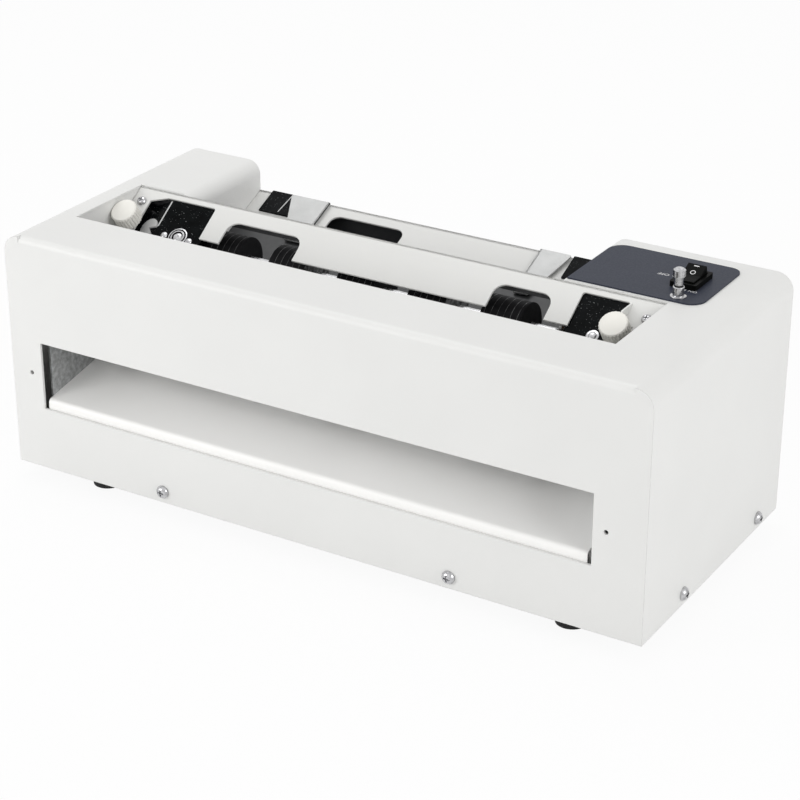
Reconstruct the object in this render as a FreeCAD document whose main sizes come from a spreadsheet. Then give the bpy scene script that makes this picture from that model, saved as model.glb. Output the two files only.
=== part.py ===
"""Desk-top business card cutter: an electric slitter in a folded steel case.

Frame: millimetres, +Z up, +Y towards the feeding side, the cards leave at -Y.
The origin is on the table, midway along the case and midway through its depth.
"""
import FreeCAD, Part
import math
import os
import Sketcher

V = FreeCAD.Vector
doc = FreeCAD.newDocument("card_cutter")

# ---------------------------------------------------------------- driving sizes
SIZES = [
    ("case_len", 400.0, "outer case, along X"),
    ("case_depth", 172.5, "outer case, along Y"),
    ("case_height", 141.0, "outer case, without its feet"),
    ("foot_height", 10.0, "from the table to the rim of the case"),
    ("case_wall", 1.5, "sheet of the outer case"),
    ("side_bend", 10.0, "bend of the long top edges"),
    ("front_bend", 4.0, "bend of the front top edge"),
    ("ear_bend", 8.0, "bend of the ear walls"),
    ("fit_gap", 0.2, "clearance between sheet parts, and round screws"),
    ("slot_left", -179.0, "exit slot, left end"),
    ("slot_right", 170.0, "exit slot, right end"),
    ("slot_low", 38.0, "exit slot, lower edge above the case rim"),
    ("slot_high", 78.8, "exit slot, upper edge above the case rim"),
    ("tray_hole", 2.6, "holes for the catch tray"),
    ("tray_hole_inset", 7.5, "from the slot's end to a tray hole"),
    ("tray_hole_up", 59.0, "tray holes above the case rim"),
    ("recess_left", -181.5, "top recess, left end"),
    ("recess_right", 158.5, "top recess, right end"),
    ("recess_front", -44.5, "top recess, front edge"),
    ("recess_back", 17.0, "top recess, back edge, where the top cover starts"),
    ("ear_left", -145.0, "inner face of the left ear"),
    ("ear_right", 93.0, "inner face of the right ear"),
    ("ear_foot", 100.0, "lower edge of the ear walls above the case rim"),
    ("lid_angle", 35.0, "slope of the slotted top cover, degrees"),
    ("lid_wall", 1.2, "sheet of the top cover"),
    ("lid_reach", 30.5, "top cover, down its slope"),
    ("lid_flange", 12.0, "rear flange of the top cover"),
    ("window_top", 5.0, "end windows of the top cover, down the slope"),
    ("view_top", 12.0, "middle windows of the top cover, down the slope"),
    ("bracket_drop", 6.0, "pressure brackets below the top cover"),
    ("bracket_wall", 1.5, "sheet of the pressure and rear brackets"),
    ("path_angle", 24.0, "slope of the paper path, degrees"),
    ("table_back_up", 123.0, "feed table, rear edge above the case rim"),
    ("table_wall", 1.6, "sheet of the feed table"),
    ("table_front", 34.0, "feed table, front edge"),
    ("table_lip", 14.0, "rear lip of the feed table"),
    ("guide_len", 34.0, "side guides, along the paper path"),
    ("guide_up", 5.0, "side guides, height of their fence"),
    ("guide_wall", 1.5, "sheet of the side guides"),
    ("guide_slot", 3.0, "slots that the side guides run in"),
    ("guide_travel", 20.0, "travel of a side guide each way"),
    ("nip_back", 22.0, "feed nip, along Y"),
    ("pair_pitch", 40.0, "from the feed nip to the cutting nip"),
    ("shaft_dia", 8.0, "roller and cutter shafts"),
    ("run_gap", 0.05, "radial clearance of a running fit"),
    ("roller_gap", 0.6, "between an upper and a lower roller"),
    ("roller_len", 24.0, "rubber feed rollers"),
    ("roller_pitch", 46.0, "spacing of the feed rollers"),
    ("disc_lap", 3.0, "overlap of an upper and a lower slitting disc"),
    ("disc_wall", 2.0, "slitting discs"),
    ("hub_dia", 18.0, "hub of a slitting disc"),
    ("hub_len", 8.0, "hub of a slitting disc"),
    ("disc_side_gap", 0.3, "between an upper and a lower disc"),
    ("card_width", 90.0, "finished card"),
    ("gutter", 6.0, "waste strip between two cards"),
    ("gear_module", 1.5, "all gears"),
    ("gear_face", 8.0, "width of the gears"),
    ("gear_play", 0.3, "play between teeth at the pitch line"),
    ("plate_wall", 2.0, "bearing plates"),
    ("plate_left", -158.0, "left bearing plate, outer face"),
    ("plate_right", 109.0, "right bearing plate, outer face"),
    ("bush_dia", 12.0, "bronze bushes"),
    ("bush_flange", 15.0, "flange of a bush"),
    ("bush_len", 6.0, "bronze bushes"),
    ("tie_dia", 8.0, "tie bars between the bearing plates"),
    ("chassis_wall", 1.5, "chassis walls"),
    ("chassis_left", -177.0, "left chassis wall, inner face"),
    ("chassis_right", 167.0, "right chassis wall, inner face"),
    ("base_wall", 1.5, "base pan"),
    ("base_flange", 14.0, "upturned edge of the base pan"),
    ("base_up", 1.0, "base pan above the case rim"),
    ("ramp_wall", 1.2, "exit ramp"),
    ("ramp_angle", 11.0, "slope of the exit ramp, degrees"),
    ("ramp_front_up", 43.6, "front bend of the ramp above the case rim"),
    ("ramp_lip", 14.0, "front lip of the ramp"),
    ("ramp_back", -27.0, "rear edge of the ramp"),
    ("panel_left", 98.5, "control panel"),
    ("panel_right", 175.0, "control panel"),
    ("panel_front", 18.6, "control panel"),
    ("panel_back", 76.5, "control panel"),
    ("panel_wall", 0.8, "control panel"),
    ("panel_corner", 7.0, "control panel"),
    ("rocker_x", 157.5, "middle of the rocker switch"),
    ("rocker_y", 47.0, "middle of the rocker switch"),
    ("bezel_len", 22.4, "rocker switch, along Y"),
    ("bezel_wide", 15.3, "rocker switch, along X"),
    ("bezel_up", 3.0, "rocker switch bezel above the panel"),
    ("rocker_throw", 12.0, "tilt of the rocker each way, degrees"),
    ("toggle_x", 160.0, "middle of the toggle switch"),
    ("toggle_y", 25.5, "middle of the toggle switch"),
    ("toggle_dia", 7.0, "threaded bushing of the toggle switch"),
    ("toggle_up", 6.0, "bushing above the panel"),
    ("toggle_throw", 12.0, "tilt of the toggle each way, degrees"),
    ("knob_dia", 16.0, "thumb knobs"),
    ("knob_len", 9.0, "thumb knobs"),
    ("knob_up", 3.5, "under-side of a thumb knob above the top cover"),
    ("knob_down", 26.5, "thumb knobs, down the slope of the top cover"),
    ("knob_left", -173.5, "left thumb knob"),
    ("knob_right", 141.0, "right thumb knob"),
    ("stud_dia", 4.0, "studs of the thumb knobs"),
    ("foot_dia", 20.0, "rubber feet"),
    ("foot_x", 151.0, "rubber feet from the middle"),
    ("foot_y", 67.0, "rubber feet from the middle"),
    ("screw_dia", 4.0, "case screws"),
    ("head_dia", 7.6, "pan heads"),
    ("head_len", 2.6, "pan heads"),
    ("case_screw_up", 6.9, "case screws above the case rim"),
    ("motor_dia", 50.0, "motor can"),
    ("motor_len", 84.0, "motor can"),
    ("gearbox_dia", 56.0, "gearbox"),
    ("gearbox_len", 30.0, "gearbox"),
    ("inlet_x", 140.0, "power inlet, along X"),
    ("inlet_up", 32.0, "power inlet above the case rim"),
    ("board_x", 143.5, "control board, middle"),
    ("board_y", -38.0, "control board, middle"),
    ("board_len", 60.0, "control board, along Y"),
    ("board_wide", 42.0, "control board, along X"),
    ("board_wall", 1.6, "control board"),
    ("board_up", 8.0, "standoffs of the control board"),
]

sheet = doc.addObject("Spreadsheet::Sheet", "Dims")
for row, (alias, number, note) in enumerate(SIZES, start=1):
    sheet.set("A%d" % row, alias)
    sheet.set("B%d" % row, str(number))
    sheet.set("C%d" % row, note)
    sheet.setAlias("B%d" % row, alias)
doc.recompute()


class Size:
    """A length worked out from the sheet: its number, and the formula that keeps it bound."""

    def __init__(self, value, text):
        self.value = float(value)
        self.text = text

    def __add__(self, other):
        o = size(other)
        return Size(self.value + o.value, "(%s + %s)" % (self.text, o.text))

    def __sub__(self, other):
        o = size(other)
        return Size(self.value - o.value, "(%s - %s)" % (self.text, o.text))

    def __mul__(self, other):
        o = size(other)
        return Size(self.value * o.value, "%s * %s" % (self.text, o.text))

    def __truediv__(self, other):
        o = size(other)
        return Size(self.value / o.value, "%s / %s" % (self.text, o.text))

    def __radd__(self, other):
        return size(other) + self

    def __rsub__(self, other):
        return size(other) - self

    def __rmul__(self, other):
        return size(other) * self

    def __neg__(self):
        return Size(-self.value, "(0 - %s)" % self.text)


def size(x):
    return x if isinstance(x, Size) else Size(x, "%.6f" % x if x >= 0 else "(0 - %.6f)" % -x)


def cell(alias):
    return Size(getattr(sheet, alias), "Dims." + alias)


def trig(name, angle):
    number = getattr(math, name)(math.radians(angle.value))
    return Size(number, "%s(%s)" % (name, angle.text))


class Cells:
    """Each driving size by its name, as in s.case_len."""

    def __getattr__(self, alias):
        return cell(alias)


s = Cells()

# ---------------------------------------------------------------- helpers
ROLE = {"x": "YZ_Plane", "y": "XZ_Plane", "z": "XY_Plane"}


def new_body(label):
    body = doc.addObject("PartDesign::Body", label)
    body.Label = label
    return body


def bind(obj, path, value):
    obj.setExpression(path, size(value).text)


def corner(prev, here, nxt, radius):
    """Tangent points and centre of the arc that rounds one corner, and whether it turns left."""
    a = V(prev[0] - here[0], prev[1] - here[1]).normalize()
    b = V(nxt[0] - here[0], nxt[1] - here[1]).normalize()
    half = math.acos(max(-1.0, min(1.0, a.dot(b)))) / 2
    run = radius / math.tan(half)
    mid = (a + b).normalize() * (radius / math.sin(half))
    o = V(here[0], here[1])
    left = (-a).cross(b).z > 0
    return o + a * run, o + b * run, o + mid, left


def draw_loop(sk, pts):
    """Draw a closed outline of (x, y) or (x, y, corner radius), every point bound to the sheet."""
    flat = [(size(p[0]).value, size(p[1]).value) for p in pts]
    n = len(pts)
    ends = []
    for i in range(n):
        if len(pts[i]) == 3:
            ends.append(corner(flat[i - 1], flat[i], flat[(i + 1) % n], size(pts[i][2]).value))
        else:
            o = V(flat[i][0], flat[i][1])
            ends.append((o, o, None, True))
    marks, lines = [], []
    for i in range(n):
        mark = sk.addGeometry(Part.Point(V(flat[i][0], flat[i][1])), True)
        for kind, value in (("DistanceX", pts[i][0]), ("DistanceY", pts[i][1])):
            number = sk.addConstraint(Sketcher.Constraint(kind, -1, 1, mark, 1, size(value).value))
            bind(sk, "Constraints[%d]" % number, value)
        marks.append(mark)
    for i in range(n):
        lines.append(sk.addGeometry(Part.LineSegment(ends[i][1], ends[(i + 1) % n][0]), False))
    for i in range(n):
        before, after = lines[i - 1], lines[i]
        if ends[i][2] is None:
            sk.addConstraint(Sketcher.Constraint("Coincident", before, 2, marks[i], 1))
            sk.addConstraint(Sketcher.Constraint("Coincident", after, 1, marks[i], 1))
            continue
        first, last, mid, left = ends[i]
        start, stop = (first, last) if left else (last, first)
        angles = [math.atan2(p.y - mid.y, p.x - mid.x) for p in (start, stop)]
        radius = size(pts[i][2])
        circle = Part.Circle(mid, V(0, 0, 1), radius.value)
        arc = sk.addGeometry(Part.ArcOfCircle(circle, angles[0], angles[1]), False)
        tail, head = (1, 2) if left else (2, 1)
        sk.addConstraint(Sketcher.Constraint("PointOnObject", marks[i], 1, before))
        sk.addConstraint(Sketcher.Constraint("PointOnObject", marks[i], 1, after))
        sk.addConstraint(Sketcher.Constraint("Tangent", before, 2, arc, tail))
        sk.addConstraint(Sketcher.Constraint("Tangent", arc, head, after, 1))
        number = sk.addConstraint(Sketcher.Constraint("Radius", arc, radius.value))
        bind(sk, "Constraints[%d]" % number, radius)


def draw_circle(sk, x, y, radius):
    ring = sk.addGeometry(Part.Circle(V(size(x).value, size(y).value), V(0, 0, 1), size(radius).value), False)
    for kind, value in (("DistanceX", x), ("DistanceY", y)):
        number = sk.addConstraint(Sketcher.Constraint(kind, -1, 1, ring, 3, size(value).value))
        bind(sk, "Constraints[%d]" % number, value)
    number = sk.addConstraint(Sketcher.Constraint("Radius", ring, size(radius).value))
    bind(sk, "Constraints[%d]" % number, radius)


def block(x0, x1, y0, y1, radius=None):
    """A rectangle as an outline, with rounded corners if a radius is given."""
    pts = [(x0, y0), (x1, y0), (x1, y1), (x0, y1)]
    return [p + (radius,) for p in pts] if radius is not None else pts


def slab(body, axis, low, high, loops=(), circles=(), cut=False):
    """Pad, or cut as a pocket, flat outlines between two stations along one axis of the body."""
    low, high = size(low), size(high)
    kind = "cut" if cut else "pad"
    sk = body.newObject("Sketcher::SketchObject", "%s_%s_outline" % (body.Label, kind))
    plane = [f for f in body.Origin.OriginFeatures if f.Role == ROLE[axis]][0]
    sk.AttachmentSupport = [(plane, "")]
    sk.MapMode = "FlatFace"
    away = axis == "y"
    station = -high if away else low
    sk.AttachmentOffset = FreeCAD.Placement(V(0, 0, station.value), FreeCAD.Rotation())
    bind(sk, "AttachmentOffset.Base.z", station)
    for pts in loops:
        draw_loop(sk, pts)
    for x, y, radius in circles:
        draw_circle(sk, x, y, radius)
    feature = body.newObject("PartDesign::Pocket" if cut else "PartDesign::Pad", "%s_%s" % (body.Label, kind))
    feature.Profile = sk
    feature.Length = (high - low).value
    bind(feature, "Length", high - low)
    feature.Reversed = cut
    sk.Visibility = False
    body.Tip = feature
    return feature


def place(obj, x=0, y=0, z=0, tilt=None, axis=V(1, 0, 0)):
    """Stand a sub-part in the machine's frame, its place bound to the sheet."""
    angle = size(tilt if tilt is not None else 0)
    obj.Placement = FreeCAD.Placement(V(size(x).value, size(y).value, size(z).value),
                                      FreeCAD.Rotation(axis, angle.value))
    for name, value in (("x", x), ("y", y), ("z", z)):
        bind(obj, "Placement.Base.%s" % name, value)
    if tilt is not None:
        bind(obj, "Placement.Rotation.Angle", angle)
    return obj


def solid(label, shape, x=0, y=0, z=0):
    """A sub-part whose shape comes from a formula or from repeated solids."""
    obj = doc.addObject("Part::Feature", label)
    obj.Label = label
    obj.Shape = shape
    return place(obj, x, y, z)


def rod(radius, length, start, bore=0.0):
    """A round bar along X from start, with an optional bore."""
    shape = Part.makeCylinder(radius, length, V(start, 0, 0), V(1, 0, 0))
    if bore:
        shape = shape.cut(Part.makeCylinder(bore, length + 2, V(start - 1, 0, 0), V(1, 0, 0)))
    return shape


def joined(shapes):
    whole = shapes[0]
    for shape in shapes[1:]:
        whole = whole.fuse(shape)
    return whole.removeSplitter()


def group(shapes):
    return Part.makeCompound(shapes)


# ---------------------------------------------------------------- shared places
rim = s.foot_height
top = rim + s.case_height
half_len = s.case_len / 2
half_depth = s.case_depth / 2
front = -half_depth
inner_front = front + s.case_wall
inner_top = top - s.case_wall
base_floor = rim + s.base_up + s.base_wall

sin_path, cos_path = trig("sin", s.path_angle), trig("cos", s.path_angle)
tan_path, tan_ramp = trig("tan", s.path_angle), trig("tan", s.ramp_angle)
sin_lid, cos_lid = trig("sin", s.lid_angle), trig("cos", s.lid_angle)
tan_lid = trig("tan", s.lid_angle)


def table_up(y):
    """Height of the paper path at a station along Y."""
    return rim + s.table_back_up - (half_depth - y) * tan_path


def lid_up(y):
    """Height of the top cover's upper face at a station along Y."""
    return top - (s.recess_back - y) * tan_lid


def shaft_at(along, side):
    """Axis of a shaft: a station down the path from the feed nip, and its height off the path."""
    y = s.nip_back - along * cos_path - side * sin_path
    z = table_up(s.nip_back) - along * sin_path + side * cos_path
    return y, z


TEETH = 20
PINION_TEETH = 12
shaft_gap = s.gear_module * TEETH
IDLER_DROP = math.sqrt(shaft_gap.value ** 2 - (s.pair_pitch.value / 2) ** 2)
UPPER_FEED = shaft_at(size(0), shaft_gap / 2)
LOWER_FEED = shaft_at(size(0), -shaft_gap / 2)
UPPER_CUT = shaft_at(s.pair_pitch, shaft_gap / 2)
LOWER_CUT = shaft_at(s.pair_pitch, -shaft_gap / 2)
IDLER = shaft_at(s.pair_pitch / 2, -shaft_gap / 2 - IDLER_DROP)

# ---------------------------------------------------------------- outer case
case = new_body("outer_case")
wall = s.case_wall
bend_in = s.side_bend - wall
slab(case, "y", front, s.recess_back, [[
    (-half_len, rim), (-half_len, top, s.side_bend), (half_len, top, s.side_bend), (half_len, rim),
    (half_len - wall, rim), (half_len - wall, inner_top, bend_in),
    (-half_len + wall, inner_top, bend_in), (-half_len + wall, rim)]])
slab(case, "y", front, inner_front, [[
    (-half_len, rim), (-half_len, top, s.side_bend), (half_len, top, s.side_bend), (half_len, rim)]])
for outer, ear, way in ((-half_len, s.ear_left, 1), (half_len, s.ear_right, -1)):
    slab(case, "y", s.recess_back, half_depth, [[
        (outer, rim), (outer, top, s.side_bend), (ear, top, s.ear_bend), (ear, rim + s.ear_foot),
        (ear - way * wall, rim + s.ear_foot), (ear - way * wall, inner_top, s.ear_bend - wall),
        (outer + way * wall, inner_top, bend_in), (outer + way * wall, rim)]])

# the front top edge is a bend between the two side bends
bend_end = half_len - s.side_bend
bend_leg = s.front_bend * 2
slab(case, "x", -bend_end, bend_end, [
    block(front - wall, front + bend_leg, top - bend_leg, top + wall)], cut=True)
slab(case, "x", -bend_end, bend_end, [[
    (front, top - bend_leg), (inner_front, top - bend_leg), (inner_front, inner_top, s.front_bend - wall),
    (front + bend_leg, inner_top), (front + bend_leg, top), (front, top, s.front_bend)]])

slab(case, "z", top - s.side_bend, top + wall, [[
    (s.recess_left, s.recess_front), (s.recess_right, s.recess_front),
    (s.recess_right, s.recess_back), (s.ear_right - s.ear_bend, s.recess_back),
    (s.ear_left + s.ear_bend, s.recess_back), (s.recess_left, s.recess_back)]], cut=True)
slab(case, "z", top - s.side_bend, top + wall, [
    block(s.ear_left, s.ear_right, s.recess_front + wall, s.recess_back + wall)], cut=True)

# the ear walls are notched over the upper feed shaft
slab(case, "x", s.ear_left - s.ear_bend, s.ear_right + s.ear_bend, [
    block(s.recess_back - 1, UPPER_FEED[0] + s.shaft_dia / 2 + 2, rim + s.ear_foot - 1,
          UPPER_FEED[1] + s.shaft_dia / 2 + 2)], cut=True)

FRONT_SCREWS = (-97.0, 88.0)
SIDE_SCREWS = (-38.0, 58.0)
screw_z = rim + s.case_screw_up
hole_r = s.screw_dia / 2 + s.fit_gap
slab(case, "y", front - wall, inner_front + wall, [
    block(s.slot_left, s.slot_right, rim + s.slot_low, rim + s.slot_high)],
    [(s.slot_left - s.tray_hole_inset, rim + s.tray_hole_up, s.tray_hole / 2),
     (s.slot_right + s.tray_hole_inset, rim + s.tray_hole_up, s.tray_hole / 2)]
    + [(x, screw_z, hole_r) for x in FRONT_SCREWS], cut=True)
slab(case, "x", -half_len - wall, half_len + wall, [], [(y, screw_z, hole_r) for y in SIDE_SCREWS], cut=True)

bezel_hole = s.bezel_wide - 2
body_x, body_y = bezel_hole / 2, s.bezel_len / 2 - 1
switch_hole = block(s.rocker_x - body_x, s.rocker_x + body_x, s.rocker_y - body_y, s.rocker_y + body_y)
toggle_hole = (s.toggle_x, s.toggle_y, s.toggle_dia / 2 + s.fit_gap)
slab(case, "z", inner_top - wall, top + wall, [switch_hole], [toggle_hole], cut=True)
place(case)

# ---------------------------------------------------------------- control panel and switches
panel = new_body("control_panel")
slab(panel, "z", top, top + s.panel_wall, [
    block(s.panel_left, s.panel_right, s.panel_front, s.panel_back, s.panel_corner), switch_hole],
    [toggle_hole])
place(panel)

deck = top + s.panel_wall
bezel = new_body("rocker_bezel")
half_wide, half_long = s.bezel_wide / 2, s.bezel_len / 2
well_x, well_y = half_wide - 2, half_long - 2
slab(bezel, "z", 0, s.bezel_up, [block(-half_wide, half_wide, -half_long, half_long, 1.0)])
slab(bezel, "z", -18, 0, [block(-body_x + s.fit_gap, body_x - s.fit_gap, -body_y + s.fit_gap, body_y - s.fit_gap)])
slab(bezel, "z", -9, s.bezel_up + 1, [block(-well_x, well_x, -well_y, well_y)], cut=True)
place(bezel, s.rocker_x, s.rocker_y, deck)

# the rocker turns about X at the middle of its well; its two faces meet in a shallow valley
rocker = new_body("rocker")
rock_x, rock_y = well_x - 0.35, well_y - 0.9
slab(rocker, "x", -rock_x, rock_x, [[
    (-rock_y, -1.0), (-2.5, -6.5), (2.5, -6.5), (rock_y, -1.0), (rock_y, 3.2), (0, 1.6), (-rock_y, 3.2)]])
pivot_z = deck + s.bezel_up - 0.6
place(rocker, s.rocker_x, s.rocker_y, pivot_z, s.rocker_throw)


def turned(points, x=0.0, y=0.0):
    """A solid of revolution about a vertical axis from (radius, height) points."""
    loop = [V(x + r, y, h) for r, h in points]
    face = Part.Face(Part.makePolygon(loop + [loop[0]]))
    return face.revolve(V(x, y, 0), V(0, 0, 1), 360)


tr = s.toggle_dia.value / 2
tu = s.toggle_up.value
nut = Part.Face(Part.makePolygon([V(4.6 * math.cos(math.radians(60 * k)), 4.6 * math.sin(math.radians(60 * k)), 0)
                                  for k in range(7)])).extrude(V(0, 0, 1.8))
nut = nut.cut(Part.makeCylinder(tr, 3, V(0, 0, -0.5)))
bushing = turned([(tr, -8), (tr, tu), (tr - 0.8, tu), (2.3, 0.4), (2.3, -8)])
switch_box = Part.makeBox(12, 8, 10, V(-6, -4, -s.panel_wall.value - s.case_wall.value - 10))
switch_box = switch_box.cut(Part.makeCylinder(3.3, 8, V(0, 0, -8)))
solid("toggle_bushing", joined([bushing, nut, switch_box]), s.toggle_x, s.toggle_y, deck)
toggle = turned([(0, -1.6), (1.5, -1.6), (1.5, 1.0), (1.35, 5.5), (1.6, 8.2), (3.5, 11.2), (3.5, 13.4), (0, 14.2)])
TOGGLE_PIVOT_UP = 1.6
solid("toggle_lever", toggle, s.toggle_x, s.toggle_y, deck + TOGGLE_PIVOT_UP)

# ---------------------------------------------------------------- top cover, in its sloping plane
# x as the case, y up the slope from the back edge (so down the slope is negative), z off the sheet
lid_left, lid_right = s.recess_left + s.fit_gap, s.recess_right - s.fit_gap
cover = new_body("top_cover")
lid_start = s.lid_wall * tan_lid + s.fit_gap
slab(cover, "z", -s.lid_wall, 0, [block(lid_left, lid_right, -s.lid_reach, -lid_start)])
drop_y, drop_z = sin_lid * s.lid_flange, cos_lid * s.lid_flange
face_y, face_z = cos_lid * s.lid_wall, sin_lid * s.lid_wall
slab(cover, "x", s.ear_left + s.ear_bend, s.ear_right - s.ear_bend, [[
    (-lid_start, 0), (-lid_start - drop_y, -drop_z), (-lid_start - drop_y - face_y, -drop_z + face_z),
    (-lid_start - face_y * 1.35, -s.lid_wall / 2), (-lid_start - face_y, 0)]])
below = s.lid_reach + 5
open_left = [(-168.0, -below), (-126.0, -below), (-126.0, -s.window_top), (-168.0, -s.window_top)]
view_left = block(-109.0, -62.0, -below, -s.view_top, 4.0)
view_right = block(62.0, 97.0, -below, -s.view_top + 2, 4.0)
notch_x = s.knob_right + 5
open_right = [(111.0, -below), (notch_x, -below), (notch_x, -19.0), (139.0, -19.0),
              (139.0, -s.window_top), (111.0, -s.window_top)]
slab(cover, "z", -s.lid_wall - 1, 1, [open_left, view_left, view_right, open_right], cut=True)
LID_SCREWS = ((-175.0, 11.0), (151.5, 13.0))
slab(cover, "z", -s.lid_wall - 1, 1, [],
     [(s.knob_left, -s.knob_down, s.stud_dia / 2 + 0.5)]
     + [(x, -d, 1.5 + s.fit_gap) for x, d in LID_SCREWS], cut=True)
gusset = 11.0
slab(cover, "x", 139.0, 139.0 + s.lid_wall, [[
    (-s.window_top, -s.lid_wall), (-s.window_top, 0), (-16.0, gusset), (-17.4, gusset), (-17.4, -s.lid_wall)]])
place(cover, 0, s.recess_back, top, s.lid_angle)

# pressure brackets: a plate under each end of the cover, with a foot on the bearing plate
deck_h = -s.bracket_drop
under_h = deck_h - s.bracket_wall
BRACKETS = (
    ("left_pressure_bracket", lid_left + 1, -124.0, s.plate_left - s.bracket_wall, s.plate_left, -163.0,
     s.knob_left, LID_SCREWS[0]),
    ("right_pressure_bracket", s.plate_right, lid_right - 1, s.plate_right, s.plate_right + s.bracket_wall, 134.0,
     s.knob_right, LID_SCREWS[1]),
)
for label, x0, x1, foot0, foot1, rib, knob_x, screw in BRACKETS:
    bracket = new_body(label)
    slab(bracket, "z", under_h, deck_h, [block(x0, x1, -30.0, -8.0)],
         [(knob_x, -s.knob_down, s.stud_dia / 2 + s.run_gap), (screw[0], -screw[1], 1.5 + s.fit_gap)])
    slab(bracket, "x", foot0, foot1, [block(-27.0, -11.0, -19.0, deck_h)])
    place(bracket, 0, s.recess_back, top, s.lid_angle)

# ---------------------------------------------------------------- knobs, studs and cover screws
SINK = FreeCAD.Rotation(V(1, 0, 0), s.lid_angle.value)


def on_lid(x, down, off=0.0):
    """A point of the sloping cover: along X, down its slope, and off its upper face."""
    y = s.recess_back - down * cos_lid - off * sin_lid
    z = top - down * sin_lid + off * cos_lid
    return size(x), y, z


def knurled(radius, length, flutes):
    """A thumb knob with a chamfered face and flutes round its rim."""
    knob = turned([(0, 0), (radius, 0), (radius, length - 0.8), (radius - 0.8, length), (0, length)])
    flute = Part.makeCylinder(0.55, length + 2, V(radius + 0.15, 0, -1))
    cuts = []
    for k in range(flutes):
        cut = flute.copy()
        cut.rotate(V(0, 0, 0), V(0, 0, 1), 360.0 * k / flutes)
        cuts.append(cut)
    return knob.cut(Part.makeCompound(cuts))


STUD_TAIL = 12.0
for side, x in (("left", s.knob_left), ("right", s.knob_right)):
    body = solid(side + "_knob", knurled(s.knob_dia.value / 2, s.knob_len.value, 26))
    place(body, *on_lid(x, s.knob_down, s.knob_up), tilt=s.lid_angle)
    collar = s.knob_up.value - 0.6
    stud = joined([
        Part.makeCylinder(s.stud_dia.value / 2, STUD_TAIL + s.knob_up.value, V(0, 0, -STUD_TAIL)),
        Part.makeCylinder(s.stud_dia.value / 2 + 1.4, collar, V(0, 0, 0.6))])
    place(solid(side + "_knob_stud", stud), *on_lid(x, s.knob_down), tilt=s.lid_angle)


def pan_screw(shank_r, shank_len, head_r, head_len):
    """A pan head screw with a cross recess: head up +Z from 0, shank down."""
    arc = Part.Arc(V(head_r, 0, head_len * 0.35), V(head_r * 0.8, 0, head_len * 0.82), V(0, 0, head_len)).toShape()
    edges = [Part.makeLine(V(0, 0, -shank_len), V(shank_r, 0, -shank_len)),
             Part.makeLine(V(shank_r, 0, -shank_len), V(shank_r, 0, 0)),
             Part.makeLine(V(shank_r, 0, 0), V(head_r, 0, 0)),
             Part.makeLine(V(head_r, 0, 0), V(head_r, 0, head_len * 0.35)),
             arc, Part.makeLine(V(0, 0, head_len), V(0, 0, -shank_len))]
    screw = Part.Face(Part.Wire(edges)).revolve(V(0, 0, 0), V(0, 0, 1), 360)
    slot = Part.makeBox(head_r * 1.05, head_r * 0.24, head_len, V(-head_r * 0.525, -head_r * 0.12, head_len * 0.45))
    cross = slot.copy()
    cross.rotate(V(0, 0, 0), V(0, 0, 1), 90)
    return screw.cut(slot).cut(cross)


def standing(shape, at, axis):
    """A copy of a part made along +Z, turned to another axis and moved to a point."""
    moved = shape.copy()
    turn = FreeCAD.Rotation(V(0, 0, 1), axis)
    moved.Placement = FreeCAD.Placement(V(*[size(q).value for q in at]), turn)
    return moved


case_screw = pan_screw(s.screw_dia.value / 2, 7.0, s.head_dia.value / 2, s.head_len.value)
screws = [standing(case_screw, (x, front, screw_z), V(0, -1, 0)) for x in FRONT_SCREWS]
screws += [standing(case_screw, (way * half_len.value, y, screw_z), V(way, 0, 0))
           for way in (-1, 1) for y in SIDE_SCREWS]
solid("case_screws", group(screws))

cover_screw = pan_screw(1.5, s.bracket_drop.value + s.bracket_wall.value + 1.0, 2.9, 2.0)
spacer = Part.makeCylinder(3.2, s.bracket_drop.value - s.lid_wall.value, V(0, 0, -s.bracket_drop.value))
spacer = spacer.cut(Part.makeCylinder(1.5 + s.fit_gap.value, 10, V(0, 0, -9)))
parts_at = [(V(x, -d, 0)) for x, d in LID_SCREWS]
for label, shape in (("cover_screws", cover_screw), ("cover_spacers", spacer)):
    copies = []
    for at in parts_at:
        copy = shape.copy()
        copy.translate(at)
        copies.append(copy)
    place(solid(label, group(copies)), 0, s.recess_back, top, s.lid_angle)

# ---------------------------------------------------------------- feed table and side guides
# its plane: y up the slope from the rear edge, z off the paper path
table = new_body("feed_table")
table_run = (half_depth - s.table_front) / cos_path
left_edge, right_edge = s.ear_left + s.fit_gap, s.ear_right - s.fit_gap
slab(table, "z", -s.table_wall, 0, [block(left_edge, right_edge, -table_run, 0)])
lip_y, lip_z = sin_path * s.table_lip, cos_path * s.table_lip
in_y, in_z = cos_path * s.table_wall, sin_path * s.table_wall
slab(table, "x", left_edge, right_edge, [[
    (0, 0), (-lip_y, -lip_z), (-lip_y - in_y, -lip_z + in_z), (-in_y * 1.3, -s.table_wall / 2), (-in_y, 0)]])
slab(table, "z", -s.table_wall - 1, 1, [block(-85.0, -37.0, -27.0, -10.0, 6.0)], cut=True)
GUIDES = (("left_paper_guide", -119.0, -94.0, 1), ("right_paper_guide", 48.0, 64.0, -1))
slot_mid = -7.0
slot_half = s.guide_slot / 2
for label, x0, x1, way in GUIDES:
    slab(table, "z", -s.table_wall - 1, 1, [
        block(x0 + 5 - s.guide_travel, x1 - 5 + s.guide_travel, slot_mid - slot_half, slot_mid + slot_half)],
        cut=True)
place(table, 0, half_depth, rim + s.table_back_up, s.path_angle)

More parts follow.
